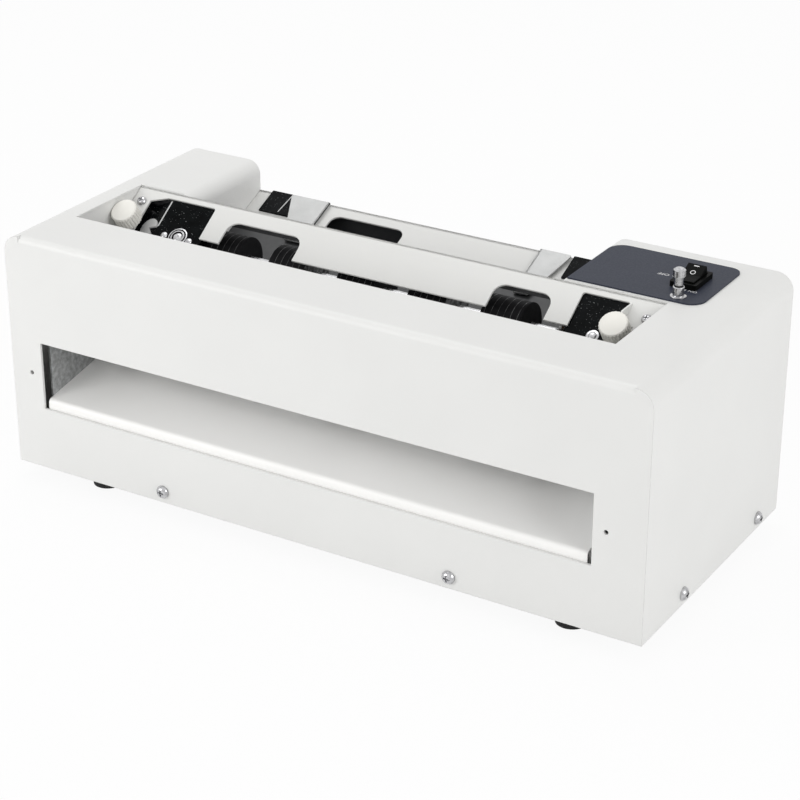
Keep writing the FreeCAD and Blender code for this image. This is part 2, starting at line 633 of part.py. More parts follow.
for label, x0, x1, way in GUIDES:
    guide = new_body(label)
    inner = x1 if way > 0 else x0
    fence0, fence1 = (inner - s.guide_wall, inner) if way > 0 else (inner, inner + s.guide_wall)
    rest = s.fit_gap
    slab(guide, "z", rest, rest + s.guide_wall, [block(x0, x1, -14.0, -1.5)])
    slab(guide, "x", fence0, fence1, [block(-s.guide_len, -1.5, rest, rest + s.guide_up)])
    tongue = slot_half - s.fit_gap
    slab(guide, "z", -s.table_wall - s.fit_gap, rest + s.guide_wall / 2, [
        block(x0 + 6, x1 - 6, slot_mid - tongue, slot_mid + tongue)])
    slab(guide, "z", -s.table_wall - s.fit_gap - 1, -s.table_wall - s.fit_gap, [
        block(x0 + 5, x1 - 5, slot_mid - slot_half - 1.5, slot_mid + slot_half + 1.5)])
    place(guide, 0, half_depth, rim + s.table_back_up, s.path_angle)

# ---------------------------------------------------------------- chassis
pan = new_body("base_pan")
pan_x, pan_front = half_len - wall, inner_front
pan_back = half_depth - wall
pan_low, pan_top = rim + s.base_up, rim + s.base_flange
slab(pan, "z", pan_low, base_floor, [block(-pan_x, pan_x, pan_front, pan_back)],
     [(sx * s.foot_x, sy * s.foot_y, 2.0 + s.fit_gap) for sx in (-1, 1) for sy in (-1, 1)])
slab(pan, "z", pan_low, pan_top, [block(-pan_x, pan_x, pan_front, pan_back),
                                  block(-pan_x + s.base_wall, pan_x - s.base_wall,
                                        pan_front + s.base_wall, pan_back - s.base_wall)])
slab(pan, "y", pan_front - 1, pan_front + s.base_wall + 1, [], [(x, screw_z, hole_r) for x in FRONT_SCREWS],
     cut=True)
slab(pan, "x", -pan_x - 1, pan_x + 1, [], [(y, screw_z, hole_r) for y in SIDE_SCREWS], cut=True)
place(pan)

foot_r, foot_top = s.foot_dia.value / 2, (rim + s.base_up).value
foot = turned([(foot_r - 1.2, 0), (foot_r, foot_top), (2.2, foot_top), (2.2, 4.0), (4.8, 4.0), (4.8, 0)])
foot_screw = pan_screw(2.0, 9.0, 4.2, 2.4)
feet, foot_screws = [], []
for sx in (-1, 1):
    for sy in (-1, 1):
        at = V(sx * s.foot_x.value, sy * s.foot_y.value, 0)
        copy = foot.copy()
        copy.translate(at)
        feet.append(copy)
        foot_screws.append(standing(foot_screw, (at.x, at.y, 4.0), V(0, 0, -1)))
solid("rubber_feet", group(feet))
solid("foot_screws", group(foot_screws))

for label, inner, way in (("left_chassis_wall", s.chassis_left, -1), ("right_chassis_wall", s.chassis_right, 1)):
    wall_body = new_body(label)
    outer = inner + way * s.chassis_wall
    x0, x1 = (outer, inner) if way < 0 else (inner, outer)
    floor_up = base_floor
    slab(wall_body, "x", x0, x1, [[
        (-80.0, floor_up), (80.0, floor_up), (80.0, rim + 112), (24.0, rim + 112), (0.0, rim + 100),
        (-80.0, rim + 84)]])
    fold0, fold1 = (outer - 10, outer) if way < 0 else (outer, outer + 10)
    slab(wall_body, "z", floor_up, floor_up + s.chassis_wall, [block(fold0, fold1, -78.0, 78.0)])
    place(wall_body)

bush_r = s.bush_dia / 2
SHAFTS = (("upper_feed", UPPER_FEED), ("lower_feed", LOWER_FEED), ("upper_cutter", UPPER_CUT),
          ("lower_cutter", LOWER_CUT))
MOTOR_ARM = s.gear_module.value * (TEETH + PINION_TEETH) / 2
MOTOR = (IDLER[0] + MOTOR_ARM * math.cos(math.radians(-40)), IDLER[1] + MOTOR_ARM * math.sin(math.radians(-40)))
TIES = ((-38.0, 78.0), (70.0, 84.0), (70.0, 24.0))
tie_r = s.tie_dia / 2
for label, outer, way in (("left_bearing_plate", s.plate_left, -1), ("right_bearing_plate", s.plate_right, 1)):
    plate = new_body(label)
    inner = outer - way * s.plate_wall
    x0, x1 = (outer, inner) if way < 0 else (inner, outer)
    holes = [(at[0], at[1], bush_r) for name, at in SHAFTS]
    if way > 0:
        holes.append((IDLER[0], IDLER[1], s.shaft_dia / 2))
        holes.append((MOTOR[0], MOTOR[1], bush_r + 2))
    slab(plate, "x", x0, x1, [[
        (s.ramp_back + 1.5, base_floor), (78.0, base_floor), (78.0, rim + 108), (44.0, rim + 108), (30.0, rim + 118),
        (8.0, rim + 118), (-6.0, rim + 106), (-30.0, rim + 103), (-44.0, rim + 96),
        (-44.0, rim + 60), (s.ramp_back + 1.5, rim + 60)]], holes)
    fold0, fold1 = (outer - 12, outer) if way < 0 else (outer, outer + 12)
    slab(plate, "z", base_floor, base_floor + s.plate_wall, [block(fold0, fold1, s.ramp_back + 4, 75.0)])
    place(plate)

span0, span1 = s.plate_left + s.plate_wall, s.plate_right - s.plate_wall
ties = [Part.makeCylinder(tie_r.value, (span1 - span0).value, V(span0.value, y, rim.value + z), V(1, 0, 0))
        for y, z in TIES]
solid("tie_bars", group(ties))

bore = s.shaft_dia.value / 2 + s.run_gap.value
bushes = []
for x_in, way in ((span0.value, -1), (span1.value, 1)):
    for name, at in SHAFTS:
        flange = Part.makeCylinder(s.bush_flange.value / 2, 1.0, V(x_in, at[0].value, at[1].value), V(-way, 0, 0))
        sleeve = Part.makeCylinder(bush_r.value, s.plate_wall.value, V(x_in, at[0].value, at[1].value), V(way, 0, 0))
        hole = Part.makeCylinder(bore, 20, V(x_in - 10, at[0].value, at[1].value), V(1, 0, 0))
        bushes.append(flange.fuse(sleeve).removeSplitter().cut(hole))
solid("shaft_bushes", group(bushes))

# ---------------------------------------------------------------- exit ramp
ramp = new_body("exit_ramp")
ramp_front = inner_front + s.fit_gap
ramp_rise = rim + s.ramp_front_up
ramp_back_z = ramp_rise + (s.ramp_back - ramp_front) * tan_ramp
slab(ramp, "x", s.chassis_left, s.chassis_right, [[
    (ramp_front, ramp_rise - s.ramp_lip), (ramp_front, ramp_rise, 2.5), (s.ramp_back, ramp_back_z),
    (s.ramp_back, ramp_back_z - s.ramp_wall), (ramp_front + s.ramp_wall, ramp_rise - s.ramp_wall, 1.3),
    (ramp_front + s.ramp_wall, ramp_rise - s.ramp_lip)]])
hang = 9.0
for x0, x1 in ((s.chassis_left, s.chassis_left + s.ramp_wall), (s.chassis_right - s.ramp_wall, s.chassis_right)):
    slab(ramp, "x", x0, x1, [[
        (ramp_front + 4, ramp_rise - hang), (s.ramp_back, ramp_back_z - hang), (s.ramp_back, ramp_back_z - 0.4),
        (ramp_front + 4, ramp_rise + 4 * tan_ramp - 0.4)]])
place(ramp)

# ---------------------------------------------------------------- shafts, rollers and slitting discs
shaft_start = s.plate_left.value - 3
shaft_end = s.plate_right.value + 3 + s.gear_face.value + 2
for name, at in SHAFTS:
    solid(name + "_shaft", rod(s.shaft_dia.value / 2, shaft_end - shaft_start, shaft_start), 0, at[0], at[1])

middle = (s.ear_left.value + s.ear_right.value) / 2
roller_r = (shaft_gap.value - s.roller_gap.value) / 2
rollers = [rod(roller_r, s.roller_len.value, middle + k * s.roller_pitch.value - s.roller_len.value / 2,
               s.shaft_dia.value / 2) for k in (-2, -1, 0, 1, 2)]
solid("upper_feed_rollers", group(rollers), 0, UPPER_FEED[0], UPPER_FEED[1])
solid("lower_feed_rollers", group(rollers), 0, LOWER_FEED[0], LOWER_FEED[1])

disc_r = (shaft_gap.value + s.disc_lap.value) / 2
half_gutter = s.gutter.value / 2
CUTS = [middle + side * (half_gutter + out * s.card_width.value) for side in (-1, 1) for out in (0, 1)]


def slitter(x, way):
    """A slitting disc at x with its hub on the way side, relieved at the rim."""
    wall, hub = s.disc_wall.value, s.hub_len.value
    profile = [(0, 0), (disc_r, 0), (disc_r - 0.8, wall), (s.hub_dia.value / 2, wall),
               (s.hub_dia.value / 2, wall + hub), (0, wall + hub)]
    disc = turned(profile).cut(Part.makeCylinder(s.shaft_dia.value / 2, wall + hub + 2, V(0, 0, -1)))
    return standing(disc, (x, 0, 0), V(way, 0, 0))


side_half = s.disc_side_gap.value / 2
solid("upper_discs", group([slitter(x + side_half, 1) for x in CUTS]), 0, UPPER_CUT[0], UPPER_CUT[1])
solid("lower_discs", group([slitter(x - side_half, -1) for x in CUTS]), 0, LOWER_CUT[0], LOWER_CUT[1])

# ---------------------------------------------------------------- gears
PRESSURE = math.radians(20)


def gear(teeth, phase, bore_r):
    """A spur gear about X: involute flanks, one tooth centred at the phase angle in the YZ plane."""
    m, play = s.gear_module.value, s.gear_play.value
    pitch_r = m * teeth / 2
    base_r, tip_r, root_r = pitch_r * math.cos(PRESSURE), pitch_r + m, pitch_r - 1.25 * m
    half = math.pi / 2 / teeth - play / 2 / pitch_r
    inv_pitch = math.tan(PRESSURE) - PRESSURE

    def flank(r):
        a = math.acos(min(1.0, base_r / r))
        return half + inv_pitch - (math.tan(a) - a)

    stations = [max(root_r, base_r), pitch_r, (pitch_r + tip_r) / 2, tip_r]
    outline = []
    for k in range(teeth):
        mid = phase + 2 * math.pi * k / teeth
        outline.append((root_r, mid - flank(stations[0])))
        outline += [(r, mid - flank(r)) for r in stations]
        outline += [(r, mid + flank(r)) for r in reversed(stations)]
        outline.append((root_r, mid + flank(stations[0])))
    pts = [V(0, r * math.cos(a), r * math.sin(a)) for r, a in outline]
    clean = [p for i, p in enumerate(pts) if (p - pts[i - 1]).Length > 1e-4]
    face = Part.Face(Part.makePolygon(clean + [clean[0]]))
    blank = face.extrude(V(s.gear_face.value, 0, 0))
    return blank.cut(Part.makeCylinder(bore_r, s.gear_face.value + 2, V(-1, 0, 0), V(1, 0, 0)))


def direction(a, b):
    return math.atan2(b[1].value - a[1].value, b[0].value - a[0].value)


def mate(phase, teeth, other, toward):
    """Phase of a gear that meshes with one of a known phase, lying toward an angle from it."""
    share = (toward - phase) * teeth / (2 * math.pi)
    return toward + math.pi - (0.5 - share) * 2 * math.pi / other


gear_x = s.plate_right.value + 3
shaft_r = s.shaft_dia.value / 2
lower_cut_phase = 0.0
upper_cut_phase = mate(lower_cut_phase, TEETH, TEETH, direction(LOWER_CUT, UPPER_CUT))
idler_phase = mate(lower_cut_phase, TEETH, TEETH, direction(LOWER_CUT, IDLER))
lower_feed_phase = mate(idler_phase, TEETH, TEETH, direction(IDLER, LOWER_FEED))
upper_feed_phase = mate(lower_feed_phase, TEETH, TEETH, direction(LOWER_FEED, UPPER_FEED))
pinion_phase = mate(idler_phase, TEETH, PINION_TEETH, direction(IDLER, MOTOR))
GEARS = (("lower_cutter_gear", LOWER_CUT, TEETH, lower_cut_phase, shaft_r),
         ("upper_cutter_gear", UPPER_CUT, TEETH, upper_cut_phase, shaft_r),
         ("lower_feed_gear", LOWER_FEED, TEETH, lower_feed_phase, shaft_r),
         ("upper_feed_gear", UPPER_FEED, TEETH, upper_feed_phase, shaft_r),
         ("idler_gear", IDLER, TEETH, idler_phase, shaft_r + s.run_gap.value),
         ("motor_pinion", MOTOR, PINION_TEETH, pinion_phase, 3.0))
for label, at, teeth, phase, bore_r in GEARS:
    solid(label, gear(teeth, phase, bore_r), gear_x, at[0], at[1])

pin = rod(shaft_r, s.plate_wall.value + 3 + s.gear_face.value + 1.2, s.plate_right.value - s.plate_wall.value)
cap = rod(shaft_r + 2, 1.5, s.plate_right.value + 3 + s.gear_face.value + 0.3)
collar = rod(shaft_r + 2, 2.7, s.plate_right.value)
solid("idler_pin", joined([pin, cap, collar]), 0, IDLER[0], IDLER[1])

# ---------------------------------------------------------------- motor
motor_face = s.plate_right.value - s.plate_wall.value
box_len, can_len = s.gearbox_len.value, s.motor_len.value
casing = joined([
    rod(s.gearbox_dia.value / 2, box_len, motor_face - box_len),
    rod(s.motor_dia.value / 2, can_len, motor_face - box_len - can_len),
    rod(9.0, 4.0, motor_face - box_len - can_len - 4),
    rod(bush_r.value + 1.5, s.plate_wall.value, motor_face)])
casing = casing.cut(Part.makeCylinder(3.0 + s.run_gap.value, 40, V(motor_face - 25, 0, 0), V(1, 0, 0)))
solid("drive_motor", casing, 0, MOTOR[0], MOTOR[1])
solid("motor_shaft", rod(3.0, 24 + s.plate_wall.value + 3 + s.gear_face.value + 1, motor_face - 24), 0,
      MOTOR[0], MOTOR[1])

# ---------------------------------------------------------------- rear panel, inlet and control board
rear = new_body("rear_panel")
rear_x = half_len - wall - s.fit_gap
notch_up = rim + s.table_back_up - s.table_lip - s.fit_gap
INLET_WIDE, INLET_TALL = 27.0, 20.0
inlet_hole = block(s.inlet_x - INLET_WIDE / 2, s.inlet_x + INLET_WIDE / 2, rim + s.inlet_up - INLET_TALL / 2,
                   rim + s.inlet_up + INLET_TALL / 2)
vents = [block(-60.0 + 12 * k, -55.0 + 12 * k, rim + 28, rim + 58, 2.4) for k in range(9)]
ear_low, rear_top = rim + s.ear_foot - s.fit_gap, inner_top - s.fit_gap
side_l, side_r = s.ear_left - wall - s.fit_gap, s.ear_right + wall + s.fit_gap
slab(rear, "y", half_depth - wall, half_depth, [[
    (-rear_x, pan_low), (-rear_x, rear_top, bend_in), (side_l, rear_top, s.ear_bend - wall),
    (side_l, ear_low), (left_edge, ear_low), (left_edge, notch_up), (right_edge, notch_up),
    (right_edge, ear_low), (side_r, ear_low), (side_r, rear_top, s.ear_bend - wall),
    (rear_x, rear_top, bend_in), (rear_x, pan_low)], inlet_hole] + vents)
REAR_SCREWS = (-150.0, 0.0, 150.0)
slab(rear, "y", half_depth - wall - 1, half_depth + 1, [], [(x, screw_z, hole_r) for x in REAR_SCREWS], cut=True)
place(rear)
slab(pan, "y", pan_back - s.base_wall - 1, pan_back + 1, [], [(x, screw_z, hole_r) for x in REAR_SCREWS], cut=True)
solid("rear_screws", group([standing(case_screw, (x, half_depth, screw_z), V(0, 1, 0)) for x in REAR_SCREWS]))

flange = Part.makeBox(33, 2.0, 26, V(-16.5, 0, -13))
shell = Part.makeBox(INLET_WIDE - 0.4, 20, INLET_TALL - 0.4, V(-INLET_WIDE / 2 + 0.2, -20, -INLET_TALL / 2 + 0.2))
socket = Part.makeBox(INLET_WIDE - 4, 17, INLET_TALL - 4, V(-INLET_WIDE / 2 + 2, -15, -INLET_TALL / 2 + 2))
blades = [Part.makeBox(4, 14, 2, V(x - 2, -16, z - 1)) for x, z in ((-7, -2), (7, -2), (0, 3))]
inlet = joined([flange.fuse(shell).cut(socket)] + blades)
solid("power_inlet", inlet, s.inlet_x, half_depth, rim + s.inlet_up)

board_z = base_floor + s.board_up
board = Part.makeBox(s.board_wide.value, s.board_len.value, s.board_wall.value,
                     V(-s.board_wide.value / 2, -s.board_len.value / 2, 0))
relay = Part.makeBox(16, 20, 15, V(-14, -20, s.board_wall.value))
supply = Part.makeBox(26, 18, 18, V(-12, 6, s.board_wall.value))
solid("control_board", joined([board, relay, supply]), s.board_x, s.board_y, board_z)
posts = [Part.makeCylinder(2.5, s.board_up.value, V(sx * (s.board_wide.value / 2 - 4), sy * (s.board_len.value / 2 - 4), 0))
         for sx in (-1, 1) for sy in (-1, 1)]
solid("board_standoffs", group(posts), s.board_x, s.board_y, base_floor)

# rear angle brackets that tie the ear walls to the bearing plates
for label, x0, x1 in (("left_rear_bracket", s.plate_left, s.ear_left - wall),
                      ("right_rear_bracket", s.ear_right + wall, s.plate_right)):
    angle = new_body(label)
    low = rim + 108
    slab(angle, "z", low, low + s.bracket_wall, [block(x0, x1, 50.0, 76.0)])
    lug0, lug1 = (x1 - s.bracket_wall, x1) if label.startswith("left") else (x0, x0 + s.bracket_wall)
    slab(angle, "z", low, low + 22, [block(lug0, lug1, 50.0, 76.0)])
    place(angle)

# ---------------------------------------------------------------- check and write
doc.recompute()
for obj in doc.Objects:
    if "Invalid" in obj.State or "Error" in obj.State:
        raise RuntimeError("%s did not compute" % obj.Label)
pieces = [o for o in doc.Objects if o.TypeId in ("PartDesign::Body", "Part::Feature")]
for piece in pieces:
    if piece.Shape.isNull() or not piece.Shape.isValid() or not piece.Shape.Solids:
        raise RuntimeError("%s has no valid solid" % piece.Label)
os.makedirs("parts", exist_ok=True)
for piece in pieces:
    piece.Shape.exportStep("parts/%s.step" % piece.Label)
print("%d pieces, %d solids" % (len(pieces), sum(len(p.Shape.Solids) for p in pieces)))
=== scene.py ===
# %% [markdown]
# # A desk-top business card cutter, dressed for the studio
# The machine takes a sheet over a sloping table, under a slotted cover and through round blades, and
# drops the cut cards on a ramp. Its sheets, shafts, gears and screws come ready made at their real
# size. This lesson gives each piece its finish, draws the sheets and the toggle that meet the eye
# first with finer shapes, adds a few small plates and printed marks, and sets up a plain studio.
# Everything is in metres, with Z up and the origin on the table under the machine.

# %% Load the machine
import math

import bpy
from mathutils import Matrix, Vector


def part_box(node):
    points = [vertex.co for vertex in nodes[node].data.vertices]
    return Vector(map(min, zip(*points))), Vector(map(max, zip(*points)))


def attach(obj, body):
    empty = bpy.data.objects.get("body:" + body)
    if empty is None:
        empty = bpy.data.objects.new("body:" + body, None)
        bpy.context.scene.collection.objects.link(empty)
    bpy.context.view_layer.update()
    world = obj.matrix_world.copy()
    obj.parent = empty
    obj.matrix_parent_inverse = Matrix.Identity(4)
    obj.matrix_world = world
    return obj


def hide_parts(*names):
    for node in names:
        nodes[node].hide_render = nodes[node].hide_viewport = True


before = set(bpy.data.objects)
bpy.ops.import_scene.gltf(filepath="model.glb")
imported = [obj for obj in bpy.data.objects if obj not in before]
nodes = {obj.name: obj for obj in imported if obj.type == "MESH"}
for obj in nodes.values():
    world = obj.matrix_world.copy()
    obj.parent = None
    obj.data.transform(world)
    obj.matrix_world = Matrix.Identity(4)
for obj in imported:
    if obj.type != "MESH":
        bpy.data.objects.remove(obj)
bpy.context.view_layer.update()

MM = 0.001
print("pieces from the workshop:", len(nodes))

# %% [markdown]
# ## The camera
# The machine is seen from its front right, from a little above, through a long lens, so that its
# edges stay nearly parallel. A camera can be aimed by eye or by constraint; here its place,
# heading and pitch are known numbers, so the three axes of its view are worked out from them.

# %% Camera
CAMERA_AT = Vector((0.60988, -1.00019, 0.62164))
HEADING = math.radians(31.12)
PITCH = math.radians(25.51)
ROLL = math.radians(0.063)
LENS_MM = 104.0
SENSOR_MM = 36.0
NEAR_CLIP = 0.05


def make_camera():
    """A camera that looks along a heading (from +Y towards -X) and down by a pitch."""
    data = bpy.data.cameras.new("studio_camera")
    data.lens = LENS_MM
    data.sensor_width = SENSOR_MM
    data.clip_start = NEAR_CLIP
    camera = bpy.data.objects.new("studio_camera", data)
    bpy.context.scene.collection.objects.link(camera)
    turn = Matrix.Rotation(HEADING, 4, "Z") @ Matrix.Rotation(math.pi / 2 - PITCH, 4, "X")
    camera.matrix_world = Matrix.Translation(CAMERA_AT) @ turn @ Matrix.Rotation(ROLL, 4, "Z")
    bpy.context.scene.camera = camera
    return camera


camera = make_camera()
looks_along = camera.matrix_world.to_3x3() @ Vector((0, 0, -1))
print("camera looks along", [round(v, 3) for v in looks_along])

# %% [markdown]
# ## The light of the room
# A white machine on a white ground needs soft light from all around, or its faces melt together.
# Many lamps could give it, but a world does it evenly with none. To the camera, and in reflections,
# the world is plain white, which the Light Path node allows without sending more light onto the
# machine.

# %% World
FILL = 0.60
WHITE = (1.0, 1.0, 1.0, 1.0)


def seen_rays(tree):
    """1 for rays from the camera, off gloss and through glass, 0 for light that lands on things."""
    path = tree.nodes.new("ShaderNodeLightPath")
    seen = path.outputs["Is Camera Ray"]
    for ray in ("Is Glossy Ray", "Is Transmission Ray"):
        either = tree.nodes.new("ShaderNodeMath")
        either.operation = "MAXIMUM"
        tree.links.new(seen, either.inputs[0])
        tree.links.new(path.outputs[ray], either.inputs[1])
        seen = either.outputs[0]
    return seen


def make_world():
    """An even fill for the machine, plain white for the camera and for reflections."""
    world = bpy.data.worlds.new("studio")
    world.use_nodes = True
    tree = world.node_tree
    tree.nodes.clear()
    out = tree.nodes.new("ShaderNodeOutputWorld")
    mix = tree.nodes.new("ShaderNodeMixShader")
    fill = tree.nodes.new("ShaderNodeBackground")
    white = tree.nodes.new("ShaderNodeBackground")
    fill.inputs["Color"].default_value = WHITE
    fill.inputs["Strength"].default_value = FILL
    white.inputs["Color"].default_value = WHITE
    white.inputs["Strength"].default_value = 1.0
    tree.links.new(seen_rays(tree), mix.inputs[0])
    tree.links.new(fill.outputs[0], mix.inputs[1])
    tree.links.new(white.outputs[0], mix.inputs[2])
    tree.links.new(mix.outputs[0], out.inputs["Surface"])
    bpy.context.scene.world = world


make_world()
print("the world fills with a strength of", FILL)

# %% [markdown]
# ## Soft boxes
# The faces of the case are told apart by a little more or less light on each. Sun or spot lamps
# would draw hard shadows into the slots, so three square area lamps are used, as in a small product
# studio: one at the front left, one for the right wall and one above. Each is turned to the
# machine by a tracking rotation, so its place can be changed without aiming it again.

# %% Lamps
AIM_AT = (0.0, 0.0, 0.08)
SOFT_BOXES = (("front_soft_box", (-0.95, -1.3, 0.55), 0.8, 9.1),
              ("side_soft_box", (1.7, -0.35, 0.8), 1.0, 9.4),
              ("top_soft_box", (-0.45, 0.35, 1.4), 0.9, 4.5))


def make_lamp(name, at, size, power):
    """A square soft box that points at the machine."""
    data = bpy.data.lights.new(name, "AREA")
    data.shape = "SQUARE"
    data.size = size
    data.energy = power
    lamp = bpy.data.objects.new(name, data)
    bpy.context.scene.collection.objects.link(lamp)
    aim = (Vector(AIM_AT) - Vector(at)).to_track_quat("-Z", "Y")
    lamp.matrix_world = Matrix.Translation(at) @ aim.to_matrix().to_4x4()
    print(name, "stands at", at, "and gives", power, "W")


for box in SOFT_BOXES:
    make_lamp(*box)

scene = bpy.context.scene
scene.view_settings.view_transform = "Standard"

# %% [markdown]
# ## The floor
# The machine stands on white paper. A plain white surface would come out grey between the lamps,
# and a glowing one would lose the shadow that sets the feet down. So one large square gets both:
# the light that lands on it meets matt paper, while the camera sees mostly a glow, with just enough
# of the matt paper left in it to carry the shadow.

# %% Floor
FLOOR_HALF = 6.0
FLOOR_GLOW = 0.92
PAPER = (0.90, 0.90, 0.90, 1.0)


def make_floor():
    """A pale floor that looks white to the camera but keeps the machine's shadow."""
    mesh = bpy.data.meshes.new("studio_floor")
    corners = [(-FLOOR_HALF, -FLOOR_HALF, 0), (FLOOR_HALF, -FLOOR_HALF, 0),
               (FLOOR_HALF, FLOOR_HALF, 0), (-FLOOR_HALF, FLOOR_HALF, 0)]
    mesh.from_pydata(corners, [], [(0, 1, 2, 3)])
    floor = bpy.data.objects.new("studio_floor", mesh)
    scene.collection.objects.link(floor)
    paper = bpy.data.materials.new("studio_paper")
    paper.use_nodes = True
    tree = paper.node_tree
    tree.nodes.clear()
    out = tree.nodes.new("ShaderNodeOutputMaterial")
    mix = tree.nodes.new("ShaderNodeMixShader")
    matt = tree.nodes.new("ShaderNodeBsdfDiffuse")
    glow = tree.nodes.new("ShaderNodeEmission")
    share = tree.nodes.new("ShaderNodeMath")
    matt.inputs["Color"].default_value = PAPER
    glow.inputs["Strength"].default_value = 1.0
    share.operation = "MULTIPLY"
    share.inputs[1].default_value = FLOOR_GLOW
    tree.links.new(seen_rays(tree), share.inputs[0])
    tree.links.new(share.outputs[0], mix.inputs[0])
    tree.links.new(matt.outputs[0], mix.inputs[1])
    tree.links.new(glow.outputs[0], mix.inputs[2])
    tree.links.new(mix.outputs[0], out.inputs["Surface"])
    mesh.materials.append(paper)


make_floor()
print("floor of", 2 * FLOOR_HALF, "m, with", FLOOR_GLOW, "of it aglow")

# %% [markdown]
# ## A helper for finishes
# Each finish is a Principled shader with a little noise in it: a real coat of paint varies in
# tone and gloss, and its surface is never dead flat. Pictures could give that too, but they need
# an unwrapped mesh. Noise needs none, and it works in the machine's own metres, so each grain has
# its real size. This first class holds the shader and the noise that feeds it.

# %% Grain
NOISE_LOW, NOISE_HIGH = 0.3, 0.7


class Grain:
    """A Principled material and noise of real sizes to feed it."""

    def __init__(self, name, colour, rough, metal=0.0):
        self.material = bpy.data.materials.new(name)
        self.material.use_nodes = True
        self.tree = self.material.node_tree
        self.shader = self.tree.nodes["Principled BSDF"]
        self.colour = colour
        self.paint = None
        self.relief = None
        self.shader.inputs["Base Color"].default_value = (*colour, 1.0)
        self.shader.inputs["Roughness"].default_value = rough
        self.shader.inputs["Metallic"].default_value = metal
        self.place = self.tree.nodes.new("ShaderNodeTexCoord").outputs["Object"]

    def stretch(self, scale):
        """The machine's metres, stretched per axis, for brushed or drawn surfaces."""
        mapping = self.tree.nodes.new("ShaderNodeMapping")
        mapping.inputs["Scale"].default_value = scale
        self.tree.links.new(self.place, mapping.inputs["Vector"])
        return mapping.outputs["Vector"]

    def noise(self, size_mm, detail=3.0, along=None):
        """Soft noise whose blobs are about size_mm across."""
        node = self.tree.nodes.new("ShaderNodeTexNoise")
        node.inputs["Scale"].default_value = 1.0 / (size_mm * MM)
        node.inputs["Detail"].default_value = detail
        self.tree.links.new(along or self.place, node.inputs["Vector"])
        return node.outputs["Fac"]

    def spread(self, source, low, high):
        """Noise, which seldom leaves its middle range, mapped to another range."""
        node = self.tree.nodes.new("ShaderNodeMapRange")
        node.inputs["From Min"].default_value = NOISE_LOW
        node.inputs["From Max"].default_value = NOISE_HIGH
        node.inputs["To Min"].default_value = low
        node.inputs["To Max"].default_value = high
        self.tree.links.new(source, node.inputs["Value"])
        return node.outputs["Result"]


def offers(kind):
    """The names of the helpers that a class brings."""
    return ", ".join(name for name in vars(kind) if not name.startswith("_"))


print("grain offers", offers(Grain))

# %% [markdown]
# ## Masks by place
# Some colours end at a line, as the painted shade on the inner face of a white sheet does, and a
# roller carries pale rings. A mask could be painted on the mesh, corner by corner. A test on the
# place itself is sharper, needs no extra corners, and is written in the millimetres of the machine.

# %% Masks
class Masks(Grain):
    """Grain with masks: values that are 1 in one region and 0 outside it."""

    def maths(self, operation, first, second=None):
        """One Math node. The second value is a number or another node's output."""
        node = self.tree.nodes.new("ShaderNodeMath")
        node.operation = operation
        self.tree.links.new(first, node.inputs[0])
        if isinstance(second, bpy.types.NodeSocket):
            self.tree.links.new(second, node.inputs[1])
        elif second is not None:
            node.inputs[1].default_value = second
        return node.outputs[0]

    def along(self, axis):
        """The place along the machine's X, Y or Z."""
        split = self.tree.nodes.new("ShaderNodeSeparateXYZ")
        self.tree.links.new(self.place, split.inputs[0])
        return split.outputs[axis]

    def before(self, axis, limit_mm):
        """1 where the machine's X, Y or Z stays below a limit."""
        return self.maths("LESS_THAN", self.along(axis), limit_mm * MM)

    def under(self, direction, limit_mm):
        """1 where a place, measured along a direction, stays below a limit."""
        node = self.tree.nodes.new("ShaderNodeVectorMath")
        node.operation = "DOT_PRODUCT"
        node.inputs[1].default_value = direction
        self.tree.links.new(self.place, node.inputs[0])
        return self.maths("LESS_THAN", node.outputs["Value"], limit_mm * MM)

    def both(self, first, second):
        """1 where two masks are 1 together."""
        return self.maths("MULTIPLY", first, second)

    def rings(self, apart_mm, share):
        """1 on thin rings round the X axis that stand at equal distances."""
        counted = self.maths("MULTIPLY", self.along("X"), 1.0 / (apart_mm * MM))
        return self.maths("LESS_THAN", self.maths("FRACT", counted), share)


print("masks offer", offers(Masks))

# %% [markdown]
# ## Colour, gloss and relief
# What the eye reads as paint, steel or rubber is how colour, gloss and relief change together over
# a surface. Each gets a small function of its own, so a finish below is a short list of them. A
# sharp sheet edge would look cut from paper; the Bevel node rounds its shading, not its mesh.

# %% Colour, gloss and relief
EDGE_SAMPLES = 4


